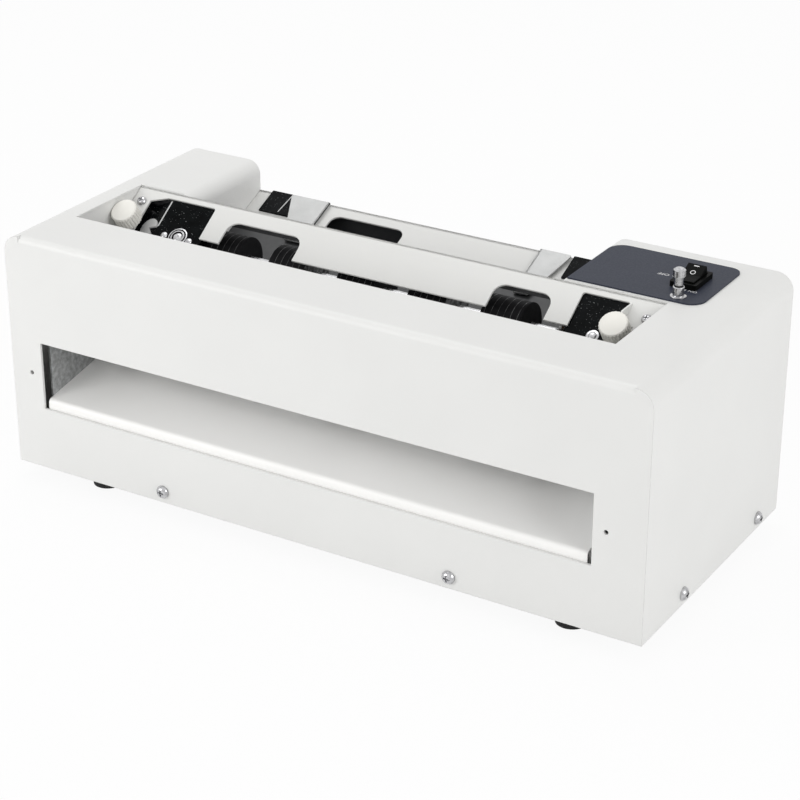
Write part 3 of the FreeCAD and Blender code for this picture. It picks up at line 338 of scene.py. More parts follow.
class Finish(Masks):
    """A material whose colour, gloss and relief follow grain and masks."""

    def tint(self, source, darker, lighter):
        """Base colour that wanders between two shades of the finish's own colour."""
        ramp = self.tree.nodes.new("ShaderNodeValToRGB")
        ramp.color_ramp.elements[0].position = NOISE_LOW
        ramp.color_ramp.elements[1].position = NOISE_HIGH
        ramp.color_ramp.elements[0].color = (*[c * darker for c in self.colour], 1.0)
        ramp.color_ramp.elements[1].color = (*[min(1.0, c * lighter) for c in self.colour], 1.0)
        self.tree.links.new(source, ramp.inputs["Fac"])
        self.paint = ramp.outputs["Color"]
        self.tree.links.new(self.paint, self.shader.inputs["Base Color"])

    def overlay(self, mask, colour):
        """Another colour where the mask is 1. It comes after tint."""
        mix = self.tree.nodes.new("ShaderNodeMix")
        mix.data_type = "RGBA"
        self.tree.links.new(mask, mix.inputs["Factor"])
        self.tree.links.new(self.paint, mix.inputs["A"])
        mix.inputs["B"].default_value = (*colour, 1.0)
        self.paint = mix.outputs["Result"]
        self.tree.links.new(self.paint, self.shader.inputs["Base Color"])

    def gloss(self, source, low, high):
        """Roughness that wanders between two values."""
        self.tree.links.new(self.spread(source, low, high), self.shader.inputs["Roughness"])

    def shine(self, level):
        """How much light the surface itself throws back."""
        self.shader.inputs["Specular IOR Level"].default_value = level

    def bump(self, source, depth_mm, strength=1.0):
        """Relief from noise. Calls can be chained: each bump sits on the one before."""
        node = self.tree.nodes.new("ShaderNodeBump")
        node.inputs["Distance"].default_value = depth_mm * MM
        node.inputs["Strength"].default_value = strength
        self.tree.links.new(source, node.inputs["Height"])
        if self.relief is not None:
            self.tree.links.new(self.relief, node.inputs["Normal"])
        self.relief = node.outputs["Normal"]
        self.tree.links.new(self.relief, self.shader.inputs["Normal"])

    def soften(self, radius_mm):
        """Rounds the look of sharp sheet edges, as paint does when it flows over them."""
        node = self.tree.nodes.new("ShaderNodeBevel")
        node.samples = EDGE_SAMPLES
        node.inputs["Radius"].default_value = radius_mm * MM
        self.relief = node.outputs["Normal"]
        self.tree.links.new(self.relief, self.shader.inputs["Normal"])


def dress(finish, *names):
    """Give a finish to pieces by name."""
    for name in names:
        data = nodes[name].data
        data.materials.clear()
        data.materials.append(finish.material)
    print(finish.material.name, "on", ", ".join(names))


print("a finish offers", offers(Finish))

# %% [markdown]
# ## Powder coated sheet
# The case and the ramp are folded steel with a baked white powder coat. Powder melts into a skin
# with a faint orange peel, about a millimetre from crest to crest, and a satin gloss. The peel
# could be sculpted, but it is far too fine for a mesh, so it is a bump. One function makes every
# white coat, and the sheets differ only in tone. The cover and the table share a slightly darker
# tone, which on the cover is painted shade for its place down in the recess. The ramp is much
# lighter, which is painted light against the shade inside the slot.

# %% Powder coat
COAT_ROUGH = 0.42
PEEL_MM, PEEL_DEEP_MM = 1.1, 0.03


def powder_coat(name, colour):
    """A thick satin coat that rounds its edges and has a faint orange peel."""
    finish = Finish(name, colour, COAT_ROUGH)
    finish.shine(0.45)
    finish.soften(0.5)
    finish.tint(finish.noise(60.0, 2.0), 0.985, 1.01)
    finish.gloss(finish.noise(2.2), COAT_ROUGH - 0.04, COAT_ROUGH + 0.05)
    finish.bump(finish.noise(PEEL_MM, 2.0), PEEL_DEEP_MM, 0.35)
    return finish


# The cover and the table share the dimmer tone; on the cover it is painted shade.
CASE_TONE, DIMMER_COAT_TONE = (0.80, 0.80, 0.785), (0.77, 0.77, 0.75)
case_white = powder_coat("case_powder_coat", CASE_TONE)
# The ramp's much lighter white is painted light against the shade inside the slot.
ramp_white = powder_coat("ramp_powder_coat", (0.96, 0.955, 0.935))
dress(case_white, "outer_case")
dress(ramp_white, "exit_ramp")

# %% [markdown]
# ## Painted shade on the inner faces of the sheets
# The rear panel, the cover and the table are white outside. What shows of their inner faces
# through the slots is painted shade, and so is the dark on the table's upper face where it runs on
# under the cover. Each could be two meshes, one per side. A mask that cuts just below the outer
# face keeps one sheet, and it follows the tilt of the cover and the table.

# %% Painted shade on inner faces
PAINTED_SHADE_INSIDE = (0.030, 0.031, 0.033)
LID_AT, LID_TILT = (0.0, 17.0, 151.0), math.radians(35)
TABLE_AT, TABLE_TILT = (0.0, 86.25, 133.0), math.radians(24)
REAR_SKIN_Y = 84.95
COVER_SKIN, TABLE_SKIN = 1.1, 0.9
UNDER_COVER_Y, LIP_INSIDE_Y = 57.0, 85.4


def below_face(finish, at, tilt, skin_mm):
    """1 deeper than the coat's skin under a face that is tilted about X."""
    up = (0.0, -math.sin(tilt), math.cos(tilt))
    return finish.under(up, Vector(at).dot(Vector(up)) - skin_mm)


# The dark overlays below are painted shade on faces inside the case and under the cover.
rear_white = powder_coat("rear_powder_coat", CASE_TONE)
rear_white.overlay(rear_white.before("Y", REAR_SKIN_Y), PAINTED_SHADE_INSIDE)
cover_white = powder_coat("cover_powder_coat", DIMMER_COAT_TONE)
cover_white.overlay(below_face(cover_white, LID_AT, LID_TILT, COVER_SKIN), PAINTED_SHADE_INSIDE)
table_white = powder_coat("table_powder_coat", DIMMER_COAT_TONE)
# Painted shade on the table where it runs under the cover, and on its underside.
table_white.overlay(table_white.before("Y", UNDER_COVER_Y), PAINTED_SHADE_INSIDE)
table_underside_shade = table_white.both(below_face(table_white, TABLE_AT, TABLE_TILT, TABLE_SKIN),
                                table_white.before("Y", LIP_INSIDE_Y))
table_white.overlay(table_underside_shade, PAINTED_SHADE_INSIDE)
dress(rear_white, "rear_panel")
dress(cover_white, "top_cover")
dress(table_white, "feed_table")

# %% [markdown]
# ## Galvanised sheet and ground bars
# The inner walls are galvanised, which shows dull zinc crystals. Shafts and tie bars are ground
# round, so their marks run round them. Both could be one grey metal, but inside the dark case they
# would merge. So the walls get blobs of tone, and the bars get noise that is fine along the shaft
# and stretched across it.

# %% Galvanised sheet and ground bars
def galvanised_sheet():
    """Dull zinc with crystals of a few millimetres."""
    finish = Finish("galvanised_sheet", (0.56, 0.57, 0.575), 0.5, 0.8)
    finish.soften(0.3)
    finish.tint(finish.noise(2.6, 5.0), 0.62, 1.15)
    finish.gloss(finish.noise(5.0), 0.34, 0.52)
    finish.bump(finish.noise(0.8), 0.02, 0.4)
    return finish


def ground_bar():
    """Bright steel with fine marks that run round the bar."""
    finish = Finish("ground_bar", (0.60, 0.60, 0.61), 0.24, 1.0)
    marks = finish.noise(1.0, 4.0, finish.stretch((1.0, 0.04, 0.04)))
    finish.tint(marks, 0.85, 1.1)
    finish.gloss(marks, 0.17, 0.34)
    finish.bump(marks, 0.01, 0.4)
    return finish


dress(galvanised_sheet(), "base_pan", "left_chassis_wall", "right_chassis_wall")
dress(ground_bar(), "upper_feed_shaft", "lower_feed_shaft", "upper_cutter_shaft",
      "lower_cutter_shaft", "tie_bars", "motor_shaft", "idler_pin")

# %% [markdown]
# ## Brushed plates, gears and plated screws
# Plates, discs and gears keep the strokes of the belt that smoothed them. A texture per piece could
# follow each stroke; one stretched noise in several tones is enough at this size. Screws and the
# toggle are plated and polished, with only a faint haze.

# %% Brushed and plated metal
def brushed_plate(name, colour):
    """Metal with straight strokes."""
    finish = Finish(name, colour, 0.35, 1.0)
    finish.soften(0.2)
    strokes = finish.noise(1.2, 4.0, finish.stretch((1.0, 0.05, 1.0)))
    finish.tint(strokes, 0.82, 1.1)
    finish.gloss(strokes, 0.27, 0.46)
    finish.bump(strokes, 0.015, 0.4)
    return finish


def plated():
    """Bright plating with a faint haze."""
    finish = Finish("bright_plating", (0.52, 0.52, 0.53), 0.2, 1.0)
    finish.soften(0.15)
    finish.tint(finish.noise(1.6), 0.7, 1.2)
    finish.gloss(finish.noise(1.5), 0.12, 0.28)
    finish.bump(finish.noise(3.0), 0.01, 0.3)
    return finish


dress(brushed_plate("brushed_plate", (0.30, 0.30, 0.31)),
      "left_bearing_plate", "right_bearing_plate", "board_standoffs")
dress(brushed_plate("blade_steel", (0.62, 0.63, 0.66)), "upper_discs", "lower_discs")
dress(brushed_plate("gear_steel", (0.40, 0.40, 0.40)), "lower_cutter_gear", "upper_cutter_gear",
      "lower_feed_gear", "upper_feed_gear", "motor_pinion")
dress(brushed_plate("oiled_bronze", (0.50, 0.33, 0.15)), "shaft_bushes")
plating = plated()
dress(plating, "case_screws", "cover_screws", "foot_screws", "rear_screws", "left_knob_stud",
      "right_knob_stud", "toggle_bushing", "toggle_lever", "cover_spacers")

# %% [markdown]
# ## Dull zinc, and black as a painted reflection
# The paper guides are plain zinc sheet with a fine grain. The brackets are polished steel, and
# their near-black colour is a painted reflection of dark surroundings; dust and card fibre settle on
# them as pale specks. Specks could be scattered as tiny meshes; a fine noise that is cut off near
# its top gives the same look and costs no triangles.

# %% Zinc, and black as a painted reflection
SPECK_MM, SPECK_CUT = 0.7, 0.735
SPECK_TONE = (0.22, 0.23, 0.23)


def zinc_plate():
    """Plain dull zinc, as on the guides: a fine grain and no crystals."""
    finish = Finish("dull_zinc", (0.54, 0.545, 0.54), 0.5, 0.35)
    finish.soften(0.25)
    finish.tint(finish.noise(9.0), 0.95, 1.04)
    finish.gloss(finish.noise(1.2), 0.44, 0.56)
    finish.bump(finish.noise(0.6), 0.012, 0.4)
    return finish


def dark_reflection_sheet():
    """Near-black painted reflection of polished steel, with a dull gloss and pale specks of dust and
    card fibre.
    """
    finish = Finish("black_reflection_with_dust", (0.0035, 0.0042, 0.0045), 0.22)
    finish.shine(0.03)
    finish.soften(0.4)
    finish.gloss(finish.noise(8.0), 0.16, 0.3)
    finish.bump(finish.noise(2.5), 0.02, 0.3)
    finish.tint(finish.noise(6.0), 0.6, 1.6)
    specks = finish.maths("GREATER_THAN", finish.noise(SPECK_MM, 1.0), SPECK_CUT)
    finish.overlay(specks, SPECK_TONE)
    return finish


zinc = zinc_plate()
dress(zinc, "left_paper_guide", "right_paper_guide")
# Near-black colour: a painted reflection of dark surroundings; the specks are real dust.
dusty_reflection_black = dark_reflection_sheet()
dress(dusty_reflection_black, "left_pressure_bracket", "right_pressure_bracket", "left_rear_bracket",
      "right_rear_bracket")

# %% [markdown]
# ## Moulded plastics
# The thumb knobs are cream white nylon, a little warmer than the paint. The switch is a hard
# gloss black, and the control panel is a slate blue printed plate with a fine grain that keeps
# reflections broad. A plain colour would look like wax on the knobs' flutes, so each moulding gets
# a fine grain and a slow change of tone from one function, with the grain's size as a choice.

# %% Moulded plastics
def moulded(name, colour, rough, grain_mm=0.35, depth_mm=0.01):
    """Plastic as it leaves the mould: even in colour, with a fine grain."""
    finish = Finish(name, colour, rough)
    finish.soften(0.15)
    finish.tint(finish.noise(12.0), 0.97, 1.03)
    finish.gloss(finish.noise(1.0), rough - 0.05, rough + 0.07)
    finish.bump(finish.noise(grain_mm), depth_mm, 0.5)
    return finish


dress(moulded("knob_nylon", (0.90, 0.885, 0.83), 0.5), "left_knob", "right_knob")
switch_black = moulded("switch_black", (0.0035, 0.0038, 0.0036), 0.34)
switch_black.shine(0.03)
dress(switch_black, "rocker_bezel", "rocker", "power_inlet")
slate = moulded("panel_slate", (0.033, 0.038, 0.056), 0.42, 0.25, 0.012)
slate.shine(0.12)
dress(slate, "control_panel")
dress(moulded("gear_nylon", (0.70, 0.69, 0.64), 0.45), "idler_gear")
dress(moulded("board_mask", (0.02, 0.12, 0.05), 0.35), "control_board")
dress(moulded("motor_paint", (0.10, 0.10, 0.11), 0.4), "drive_motor")

# %% [markdown]
# ## Rubber
# Feet and rollers are rubber: black, dull and slightly dusty. The rollers carry thin pale
# rings. The rings could be ribs in the mesh, but they have no height to speak of, so a ring mask is
# laid over the black, broken up by noise so that no ring is whole.

# %% Rubber
RING_APART, RING_SHARE = 4.0, 0.06
PALE_RING_TONE = (0.30, 0.30, 0.30)


def rubber(name, colour, dust):
    """Dull rubber. Dust is how much lighter its palest patches are."""
    finish = Finish(name, colour, 0.75)
    finish.shine(0.3)
    finish.tint(finish.noise(4.0), 0.8, dust)
    finish.gloss(finish.noise(2.0), 0.65, 0.88)
    finish.bump(finish.noise(0.4), 0.03, 0.5)
    return finish


dress(rubber("foot_rubber", (0.012, 0.012, 0.012), 1.8), "rubber_feet")
roller = rubber("roller_rubber", (0.012, 0.012, 0.013), 1.3)
roller.shine(0.1)
broken = roller.spread(roller.noise(3.0), 0.0, 1.0)
roller.overlay(roller.both(roller.rings(RING_APART, RING_SHARE), broken), PALE_RING_TONE)
dress(roller, "upper_feed_rollers", "lower_feed_rollers")

# %% [markdown]
# ## Outlines, and the slopes they lie on
# Most of this machine is folded sheet: a flat outline with cut-outs and a thickness. Outlines are
# typed as corners in millimetres, and a corner that is round carries its radius. Rounding them by
# a modifier would round all alike, so the points of each arc are worked out here. The cover slopes
# by 35 degrees and the feed table by 24, so each has a place of its own to draw in.

# %% Outlines and slopes
def moved(x, y, z):
    """A shift in millimetres."""
    return Matrix.Translation((x * MM, y * MM, z * MM))


def rounded(corners, steps=6):
    """Points of an outline. A corner is (x, y), or (x, y, radius) where it is round."""
    points = []
    for k, (x, y, *radius) in enumerate(corners):
        here = Vector((x, y))
        if not radius:
            points.append(here)
            continue
        back = (Vector(corners[k - 1][:2]) - here).normalized()
        ahead = (Vector(corners[(k + 1) % len(corners)][:2]) - here).normalized()
        half = back.angle(ahead) / 2
        centre = here + (back + ahead).normalized() * (radius[0] / math.sin(half))
        reach = radius[0] / math.tan(half)
        arm = here + back * reach - centre
        sweep = arm.angle_signed(here + ahead * reach - centre)
        points += [centre + Matrix.Rotation(-sweep * i / steps, 2) @ arm for i in range(steps + 1)]
    return points


def disc(x, y, radius, count=24):
    """A round outline."""
    return [(x + radius * math.cos(math.tau * k / count), y + radius * math.sin(math.tau * k / count))
            for k in range(count)]


LEVEL = Matrix.Identity(4)
LID = moved(*LID_AT) @ Matrix.Rotation(LID_TILT, 4, "X")
TABLE = moved(*TABLE_AT) @ Matrix.Rotation(TABLE_TILT, 4, "X")
print("a square with one round corner has", len(rounded([(0, 0), (4, 0), (4, 4, 1), (0, 4)])), "points")

# %% [markdown]
# ## Flat sheets and folds
# A sheet could be modelled face by face, but a flat curve knows how to fill itself round its holes
# and how to grow a thickness, so each sheet is drawn as a curve and then turned into a mesh. A fold
# is easier seen from its end: its side view is drawn out along X, which a few faces are enough for.

# %% Sheets and strips
import bmesh


def filled(name, curve):
    """The mesh that a curve fills."""
    source = bpy.data.objects.new(name + "_outline", curve)
    mesh = bpy.data.meshes.new_from_object(source)
    bpy.data.objects.remove(source)
    return mesh


def sheet(name, outline, low, high, holes=()):
    """A flat sheet with holes, from one height to another in millimetres."""
    curve = bpy.data.curves.new(name, "CURVE")
    curve.dimensions = "2D"
    curve.fill_mode = "BOTH"
    curve.extrude = (high - low) / 2 * MM
    for corners in [outline, *holes]:
        points = rounded(corners)
        spline = curve.splines.new("POLY")
        spline.points.add(len(points) - 1)
        for knot, point in zip(spline.points, points):
            knot.co = (point.x * MM, point.y * MM, 0, 1)
        spline.use_cyclic_u = True
    mesh = filled(name, curve)
    mesh.transform(Matrix.Translation((0, 0, (low + high) / 2 * MM)))
    return mesh


def strip(name, loop, left, right):
    """A folded strip: a closed side view of (y, z) points, drawn out along X, in millimetres."""
    shape = bmesh.new()
    ends = [[shape.verts.new((x * MM, y * MM, z * MM)) for y, z in loop] for x in (left, right)]
    shape.faces.new(ends[0])
    shape.faces.new(list(reversed(ends[1])))
    for k in range(len(loop)):
        j = (k + 1) % len(loop)
        shape.faces.new((ends[0][j], ends[0][k], ends[1][k], ends[1][j]))
    bmesh.ops.recalc_face_normals(shape, faces=shape.faces)
    mesh = bpy.data.meshes.new(name)
    shape.to_mesh(mesh)
    shape.free()
    return mesh


print("sheets slope by", [round(math.degrees(tilt)) for tilt in (LID_TILT, TABLE_TILT)], "degrees")

# %% [markdown]
# ## Turned parts, and pieces made of several meshes
# Heads, bushes and washers come off a lathe, so they are drawn as one does there: half an outline,
# turned about Z. The Screw modifier would do it too; working out the rings by hand lets sharp
# shoulders stay sharp and the rest be smooth. Last comes the helper that joins a piece's meshes,
# puts them on the machine and says which body they ride on and what ready made piece they replace.

# %% Turned parts and pieces
SHARP = math.radians(35)


def turned(name, profile, segments=40):
    """A part turned about Z from (radius, height) points in millimetres, bottom to top."""
    shape = bmesh.new()
    rings = []
    for radius, height in profile:
        count = segments if radius > 0 else 1
        rings.append([shape.verts.new((radius * MM * math.cos(math.tau * k / segments),
                                       radius * MM * math.sin(math.tau * k / segments), height * MM))
                      for k in range(count)])
    for low, high in zip(rings, rings[1:]):
        for k in range(segments):
            corners = (low[k % len(low)], low[(k + 1) % len(low)],
                       high[(k + 1) % len(high)], high[k % len(high)])
            corners = list(dict.fromkeys(corners))
            if len(corners) > 2:
                shape.faces.new(corners)
    bmesh.ops.recalc_face_normals(shape, faces=shape.faces)
    for face in shape.faces:
        face.smooth = True
    for edge in shape.edges:
        edge.smooth = edge.calc_face_angle(0.0) < SHARP
    mesh = bpy.data.meshes.new(name)
    shape.to_mesh(mesh)
    shape.free()
    return mesh


def add_piece(name, meshes, finish, body, place, stands_for=()):
    """One piece from meshes, or from (mesh, place) pairs, with its place, finish and body."""
    whole = bmesh.new()
    for entry in meshes:
        mesh, local = entry if isinstance(entry, tuple) else (entry, LEVEL)
        mesh.transform(local)
        whole.from_mesh(mesh)
    data = bpy.data.meshes.new(name)
    whole.to_mesh(data)
    whole.free()
    data.transform(place)
    piece = bpy.data.objects.new(name, data)
    scene.collection.objects.link(piece)
    data.materials.append(finish.material)
    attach(piece, body)
    if stands_for:
        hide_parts(*stands_for)
    print(name, "has", len(data.polygons), "faces")


print("edges sharper than", round(math.degrees(SHARP)), "degrees stay sharp")

# %% [markdown]
# ## The slotted top cover
# The cover is one sheet that slopes down into the recess. Five openings are cut up from its lower
# edge: two square ones over the black plates and round-cornered ones over the rollers. Its rear
# edge folds down inside the case, and a small gusset stands beside the right knob. The openings
# could be cut by booleans; drawn as part of one outline they give clean faces at once.

# %% Top cover
LID_SHEET = 1.2
COVER_LEFT, COVER_RIGHT = -181.3, 158.3
GUSSET_LEFT, GUSSET_RIGHT = 139.0, 140.2
cover_outline = [
    (COVER_LEFT, -1.0), (COVER_RIGHT, -1.0), (COVER_RIGHT, -30.5), (146.0, -30.5), (146.0, -19.0),
    (139.0, -19.0), (139.0, -5.0, 1.6), (111.2, -5.0, 1.6), (111.2, -26.8), (97.0, -26.8),
    (97.0, -11.0, 7.0), (62.0, -11.0, 7.0), (62.0, -26.8), (-62.0, -26.8), (-62.0, -11.0, 7.0),
    (-112.0, -11.0, 7.0), (-112.0, -26.8), (-125.5, -26.8), (-125.5, -5.0, 1.6), (-159.0, -5.0),
    (-169.8, -9.2), (-169.8, -30.5), (COVER_LEFT, -30.5)]
cover_holes = [disc(-173.5, -26.5, 2.6), disc(-175.0, -11.0, 1.7), disc(151.5, -13.0, 1.7)]
rear_fold = [(-1.0, 0.0), (-7.9, -9.8), (-8.9, -9.1), (-2.5, -0.6), (-2.0, 0.0)]
gusset = [(-5.4, -LID_SHEET), (-5.4, 0.0), (-14.6, 6.3), (-16.6, 5.9), (-19.0, 1.6),
          (-19.0, -LID_SHEET)]
add_piece("top_cover_slotted", [
    sheet("cover_sheet", cover_outline, -LID_SHEET, 0.0, cover_holes),
    strip("cover_fold", rear_fold, COVER_LEFT, COVER_RIGHT),
    strip("cover_gusset", gusset, GUSSET_LEFT, GUSSET_RIGHT)],
    cover_white, "frame", LID, ("top_cover",))

# %% [markdown]
# ## The wall at the left end of the recess
# Beside the left knob the recess ends in a light wall: the case's top sheet folded down until it
# meets the cover's slope. Without it one would look past the cover into the dark case. The case
# could be drawn anew with its fold; one thin strip in the same paint gives the same view.

# %% Fold at the left end of the recess
recess_fold = [(16.5, 149.5), (-44.3, 149.5), (-44.3, 131.0), (-12.0, 128.0), (16.5, 148.0)]
FOLD_LEFT, FOLD_RIGHT = -182.6, -181.6
add_piece("recess_left_fold", [strip("recess_fold", recess_fold, FOLD_LEFT, FOLD_RIGHT)],
          case_white, "frame", LEVEL)

# %% [markdown]
# ## The feed table
# The table is a sloping sheet with one long window and a lip folded down at its rear edge, so that
# paper slides in without a burr. A plane with a solidify modifier could stand for it, but the lip
# would need its own modelling, so it is one more outline with a hole and one more strip.

# %% Feed table
TABLE_SHEET = 1.6
TABLE_LEFT, TABLE_RIGHT, TABLE_LONG = -144.8, 92.8, 57.0
table_outline = [(TABLE_LEFT, 0.0), (TABLE_RIGHT, 0.0),
                 (TABLE_RIGHT, -TABLE_LONG), (TABLE_LEFT, -TABLE_LONG)]
table_window = [(-88.0, -24.0, 6.0), (-38.0, -24.0, 6.0), (-38.0, -7.5, 6.0), (-88.0, -7.5, 6.0)]
rear_lip = [(0.0, 0.0), (-5.7, -12.8), (-7.2, -12.1), (-2.0, -0.8), (-1.5, 0.0)]
add_piece("feed_table_sheet", [
    sheet("table_sheet", table_outline, -TABLE_SHEET, 0.0, [table_window]),
    strip("table_lip", rear_lip, TABLE_LEFT, TABLE_RIGHT)],
    table_white, "frame", TABLE, ("feed_table",))

# %% [markdown]
# ## The paper guides
# Two dull zinc guides keep the sheet straight. Each is a tapered plate whose inner edge is folded
# down almost to the table. The two are mirror images but not twins: the left one is wider. A mirror
# modifier would make them alike, so a small table gives each its place, its side and its width.
# They ride on bodies of their own, because they slide along the table.

# %% Paper guides
GUIDE_LOW, GUIDE_HIGH = 1.4, 2.4
GUIDE_FRONT, GUIDE_BACK, FOLD_FOOT = -36.0, -0.5, 0.25
TAPER = 0.45
GUIDES = (("left_paper_guide", "left_guide", -94.0, -1, 27.0),
          ("right_paper_guide", "right_guide", 48.0, 1, 20.0))
for node, body, inner, way, wide in GUIDES:
    outer, front_outer = inner + way * wide, inner + way * wide * TAPER
    plan = [(inner, GUIDE_BACK), (outer, GUIDE_BACK, 1.0), (front_outer, GUIDE_FRONT, 1.0),
            (inner, GUIDE_FRONT)]
    edge = sorted((inner, inner + way))
    fold = [(GUIDE_FRONT, FOLD_FOOT), (GUIDE_BACK, FOLD_FOOT), (GUIDE_BACK, GUIDE_HIGH),
            (GUIDE_FRONT, GUIDE_HIGH)]
    add_piece(node + "_folded", [
        sheet(node + "_plate", plan, GUIDE_LOW, GUIDE_HIGH), strip(node + "_fold", fold, *edge)],
        zinc, body, TABLE, (node,))

# %% [markdown]
# ## Black plates at the table's ends
# A small black plate lies on the table at each end, under the reach of the guides, and a thin
# zinc strip crosses the left one as a painted highlight on a fold. They could be painted onto the
# table by a mask, but a real plate has an edge that catches the light, so they are sheets of their
# own, about a millimetre thick and low enough for the guides to pass over.

# %% Black end plates of the table
END_PLATE_THICK, TABLE_HIGHLIGHT_TOP = 1.1, 1.35
END_PLATE_LOW, END_PLATE_BACK = -17.0, 0.6
for name, left, right in (("left_table_plate", -135.7, -114.4), ("right_table_plate", 68.7, 83.7)):
    plan = [(left, END_PLATE_LOW), (right, END_PLATE_LOW), (right, END_PLATE_BACK, 0.5),
            (left, END_PLATE_BACK, 0.5)]
    add_piece(name, [sheet(name, plan, 0.0, END_PLATE_THICK)], dusty_reflection_black, "frame", TABLE)
# A thin zinc strip across the left plate: a painted highlight on a fold.
table_fold_highlight = [(-121.3, -0.2), (-120.7, -0.2), (-122.4, -15.5), (-123.0, -15.5)]
add_piece("left_table_fold_highlight", [sheet("left_table_fold_highlight", table_fold_highlight, END_PLATE_THICK, TABLE_HIGHLIGHT_TOP)],
          zinc, "frame", TABLE)

# %% [markdown]
# ## The black plates under the end windows
# Right under each end window lies a thin black plate that stands on the pressure bracket with
# one folded leg. The left one is bent down along its outer part. The bend could be made by moving
# corners by hand; here the wing is drawn flat and turned about the fold line, so the slope follows
# from how far its end drops.

# %% Window plates
PLATE_LOW, PLATE_HIGH = -2.0, -1.3
PLATE_FRONT, PLATE_BACK = -33.0, -5.6
BRACKET_DECK = -6.0
FOLD_X, WING_END, WING_DROP = -156.5, -169.4, 4.1
LEFT_LEG, RIGHT_LEG = (-154.0, -126.0), (111.0, 137.0)


def oblong(left, right, low, high):
    """The four corners of a plate with square corners."""
    return [(left, low), (right, low), (right, high), (left, high)]


wing = moved(FOLD_X, 0, PLATE_HIGH) @ Matrix.Rotation(
    -math.atan2(WING_DROP, FOLD_X - WING_END), 4, "Y")
wing_long = math.hypot(WING_DROP, FOLD_X - WING_END)
wing_plan = [(-wing_long, PLATE_FRONT), (0.0, PLATE_FRONT), (0.0, PLATE_BACK), (-wing_long, -9.8)]
leg = [(-29.6, PLATE_LOW), (-29.6, BRACKET_DECK), (-29.0, BRACKET_DECK), (-29.0, PLATE_LOW)]
left_plan = oblong(FOLD_X, -124.3, PLATE_FRONT, PLATE_BACK)
right_plan = oblong(110.0, 138.2, PLATE_FRONT, PLATE_BACK)
add_piece("left_window_plate", [
    sheet("left_plate", left_plan, PLATE_LOW, PLATE_HIGH), strip("left_leg", leg, *LEFT_LEG),
    (sheet("left_wing", wing_plan, PLATE_LOW - PLATE_HIGH, 0.0), wing)],
    dusty_reflection_black, "frame", LID)
add_piece("right_window_plate", [
    sheet("right_plate", right_plan, PLATE_LOW, PLATE_HIGH), strip("right_leg", leg, *RIGHT_LEG)],
    dusty_reflection_black, "frame", LID)

# %% [markdown]
# ## Screws and bearing on the window plates
# On the left plate sit two low domed screws and, between them, the round end of the pressure
# bearing with its rings; on the right plate one screw stands on a washer. A sphere could be cut
# for each dome, but a turned outline of an arc gives the low curve, and its rings cost few faces.

# %% Screws and bearing
def spot(x, down):
    """A place on a window plate: across and down the slope, in millimetres."""
    return moved(x, -down, PLATE_HIGH)


def dome_screw(radius, tall):
    """A low domed head without its hidden shank."""
    angles = [math.radians(a) for a in range(0, 90, 15)]
    arc = [(radius * math.cos(a), tall * (0.3 + 0.7 * math.sin(a))) for a in angles]
    return turned("dome_screw", [(0, 0), (radius, 0)] + arc + [(0, tall)])


def ring(radius, bore, tall):
    """A washer or a bearing's ring with a slanted rim."""
    return turned("ring", [(bore, 0), (radius, 0), (radius, tall * 0.8), (radius - 0.3, tall),
                           (bore, tall), (bore, 0)])


bearing = spot(-140.0, 28.3)
right_screw = spot(126.8, 29.1)
add_piece("left_plate_screws", [
    (dome_screw(2.2, 1.3), spot(-149.2, 29.1)), (dome_screw(2.2, 1.3), spot(-131.7, 29.5)),
    (ring(6.0, 5.2, 0.7), bearing), (ring(4.4, 3.4, 1.1), bearing), (dome_screw(2.9, 1.2), bearing)],
    plating, "frame", LID)
add_piece("right_plate_screw", [
    (ring(3.6, 1.9, 0.6), right_screw), (dome_screw(2.4, 1.6), right_screw)],
    plating, "frame", LID)

# %% [markdown]
# ## The notched disc and the painted highlight on the fold
# On the wing lies a pale disc with a wedge cut out of it, and along the bend beside it lies a thin
# zinc strip as a painted highlight. The wedge could be a boolean cut, but an outline that leaves the
# rim at one side of the notch and comes back at the other, by way of the middle, needs none.

# %% Notched disc and fold highlight
NOTCH_AIM, NOTCH_HALF = math.radians(-18), math.radians(24)
DISC_R, RIM_STEPS = 6.2, 30
NOTCH_FOOT = (0.4, -0.2)
DISC_LOW, DISC_HIGH = 0.02, 1.2
FOLD_HIGHLIGHT_LOW, FOLD_HIGHLIGHT_HIGH = -0.3, 0.08
rim_angles = [NOTCH_AIM + NOTCH_HALF + (math.tau - 2 * NOTCH_HALF) * k / RIM_STEPS
              for k in range(RIM_STEPS + 1)]
disc_rim = [(DISC_R * math.cos(a), DISC_R * math.sin(a)) for a in rim_angles]
notched = sheet("notched_disc", disc_rim + [NOTCH_FOOT], DISC_LOW, DISC_HIGH)
add_piece("left_notched_disc", [(notched, wing @ moved(-6.4, -25.6, 0))],
          zinc, "frame", LID)
# A thin bright zinc strip along the wing's fold: a painted highlight.
wing_fold_highlight = sheet("wing_fold_highlight", oblong(-0.5, 0.35, -24.0, -5.8), FOLD_HIGHLIGHT_LOW, FOLD_HIGHLIGHT_HIGH)
add_piece("left_wing_fold_highlight", [(wing_fold_highlight, moved(FOLD_X, 0, PLATE_HIGH))],
          zinc, "frame", LID)

# %% [markdown]
# ## The control panel
# The slate panel is a thin plate with three round corners and one sharp one, where it meets the
# cover. A bevel on a box would round all four, so it is drawn as one more sheet, cut out round the
# switches, with its two faces at the heights of the ready made one.

# %% Control panel
panel_low, panel_high = [corner.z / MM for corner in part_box("control_panel")]
panel_outline = [(98.5, 18.6), (175.0, 18.6, 9.0), (175.0, 76.5, 7.0), (98.5, 76.5, 9.0)]
rocker_hole = oblong(150.9, 164.1, 37.2, 56.8)
toggle_hole = disc(160.0, 25.5, 3.8)
add_piece("control_panel_plate", [
    sheet("panel_sheet", panel_outline, panel_low, panel_high, [rocker_hole, toggle_hole])],
    slate, "frame", LEVEL, ("control_panel",))

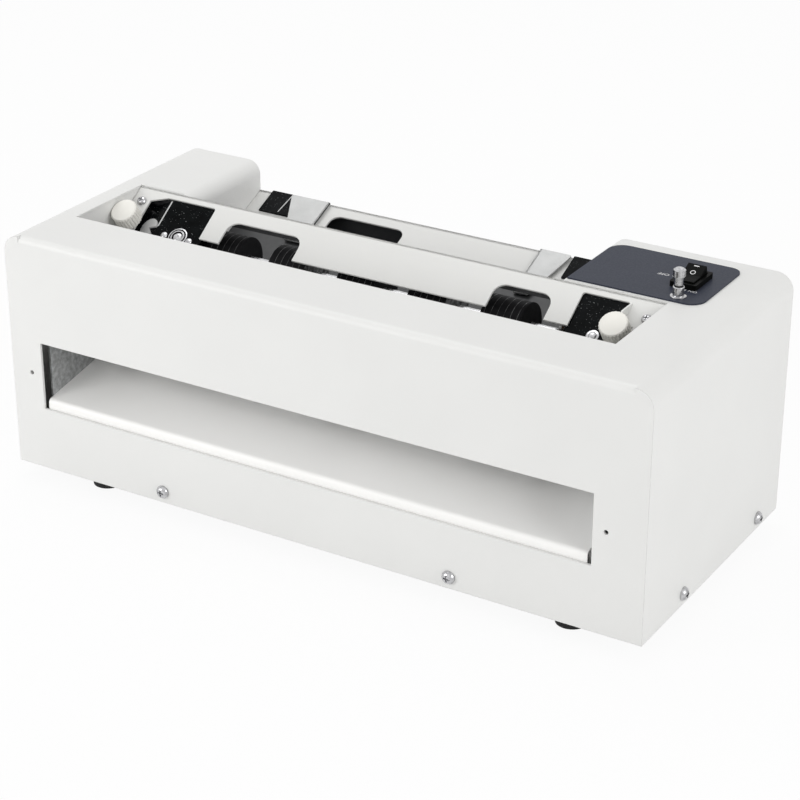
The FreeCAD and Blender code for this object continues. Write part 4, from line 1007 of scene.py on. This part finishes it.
# %% [markdown]
# ## The toggle switch
# In front of the rocker stands a small plated toggle: a plain round bush in the panel and a stout
# lever with a ribbed crown. The ribs could be an array of small cuts; one fluted outline, made a
# few millimetres tall, gives them all. The lever rides on its own body, so its neck is thin and
# leaves room in the bush for a tilt of twelve degrees.

# %% Toggle
TOGGLE_AT = moved(160.0, 25.5, 151.8)
bush = [(2.3, -8.0), (3.1, -8.0), (3.1, 5.4), (2.8, 5.8), (2.6, 5.8), (2.3, 0.4), (2.3, -8.0)]
switch_body = oblong(-6.0, 6.0, -4.0, 4.0)
add_piece("toggle_bush_plain", [
    turned("bush", bush), ring(4.4, 3.1, 0.6),
    sheet("switch_body", switch_body, -12.3, -2.4, [disc(0, 0, 3.3)])],
    plating, "frame", TOGGLE_AT, ("toggle_bushing",))
lever = [(0.0, 0.0), (1.4, 0.0), (1.4, 6.4), (2.5, 6.7), (2.7, 10.6), (2.9, 11.2), (2.9, 15.0),
         (2.3, 15.8), (0.0, 15.8)]
RIBS, RIB_ROOT, RIB_TIP = 18, 3.0, 3.4
reaches = [RIB_TIP if k % 2 else RIB_ROOT for k in range(2 * RIBS)]
crown = [(reach * math.cos(math.pi * k / RIBS), reach * math.sin(math.pi * k / RIBS))
         for k, reach in enumerate(reaches)]
add_piece("toggle_lever_ribbed", [turned("lever", lever), sheet("crown", crown, 11.4, 15.0)],
          plating, "toggle_body", TOGGLE_AT, ("toggle_lever",))

# %% [markdown]
# ## Printed words and pointers
# Beside the rocker stand the two plain words that any switch has, each with a small pointer. They
# are white ink, a few hundredths of a millimetre thick. A picture on the panel could carry them;
# laid on as thin shapes they stay sharp at any distance. They are read from behind the machine,
# where the operator stands.

# %% Ink on the panel
INK_MM = 0.04
LETTER_STEPS = 3
PANEL_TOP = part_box("control_panel")[1].z
ink = Finish("white_ink", (0.78, 0.78, 0.78), 0.5)
ink.gloss(ink.noise(1.0), 0.42, 0.6)
ink.bump(ink.noise(0.3), 0.005, 0.4)


def printed_word(name, text, x, y, height_mm):
    """A word on the panel, turned half round for the operator."""
    curve = bpy.data.curves.new(name, "FONT")
    curve.body = text
    curve.size = height_mm * MM
    curve.extrude = INK_MM * MM
    curve.align_x = "CENTER"
    curve.align_y = "CENTER"
    curve.resolution_u = LETTER_STEPS
    mesh = filled(name, curve)
    word = bpy.data.objects.new(name, mesh)
    scene.collection.objects.link(word)
    on_panel = Matrix.Translation((x * MM, y * MM, PANEL_TOP))
    word.matrix_world = on_panel @ Matrix.Rotation(math.pi, 4, "Z")
    mesh.materials.clear()
    mesh.materials.append(ink.material)
    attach(word, "frame")
    print(name, "has", len(mesh.polygons), "faces")


printed_word("label_off", "OFF", 140.6, 49.2, 3.8)
printed_word("label_on", "ON", 163.9, 34.9, 3.2)
pointer = [(-0.9, 0.0), (0.7, -0.9), (0.7, 0.9)]
for name, x, y in (("pointer_off", 146.3, 49.2), ("pointer_on", 159.2, 34.9)):
    add_piece(name, [sheet(name, pointer, 0.0, INK_MM)], ink, "frame",
              Matrix.Translation((x * MM, y * MM, PANEL_TOP)))

# %% [markdown]
# ## Ring and bar on the rocker
# The rocker carries a ring and a bar. Its two faces slope down to a shallow valley, so the height
# at a point isn't a number one can type with ease. A Shrinkwrap modifier could press the marks onto
# it; a ray that is cast straight down finds both the height and the slope of the face. The marks
# ride on the rocker's body, so they tilt with it.

# %% Ring and bar
from mathutils.bvhtree import BVHTree

ABOVE_ALL = 0.2
rocker_mesh = nodes["rocker"].data
rocker_tree = BVHTree.FromPolygons([v.co for v in rocker_mesh.vertices],
                                   [p.vertices for p in rocker_mesh.polygons])


def on_rocker(x, y):
    """The place on the rocker's upper face below a point, turned to lie in that face."""
    start = Vector((x * MM, y * MM, ABOVE_ALL))
    hit, normal, _, _ = rocker_tree.ray_cast(start, Vector((0, 0, -1)))
    return Matrix.Translation(hit) @ normal.to_track_quat("Z", "Y").to_matrix().to_4x4()


add_piece("mark_ring", [sheet("mark_ring", disc(0, 0, 1.5), 0.0, INK_MM, [disc(0, 0, 1.1)])],
          ink, "rocker_body", on_rocker(157.5, 48.6))
add_piece("mark_bar", [sheet("mark_bar", oblong(-1.5, 1.5, -0.3, 0.3), 0.0, INK_MM)],
          ink, "rocker_body", on_rocker(157.5, 53.2))

# %% [markdown]
# ## The end
# A dressed machine should be as large as the solid one.
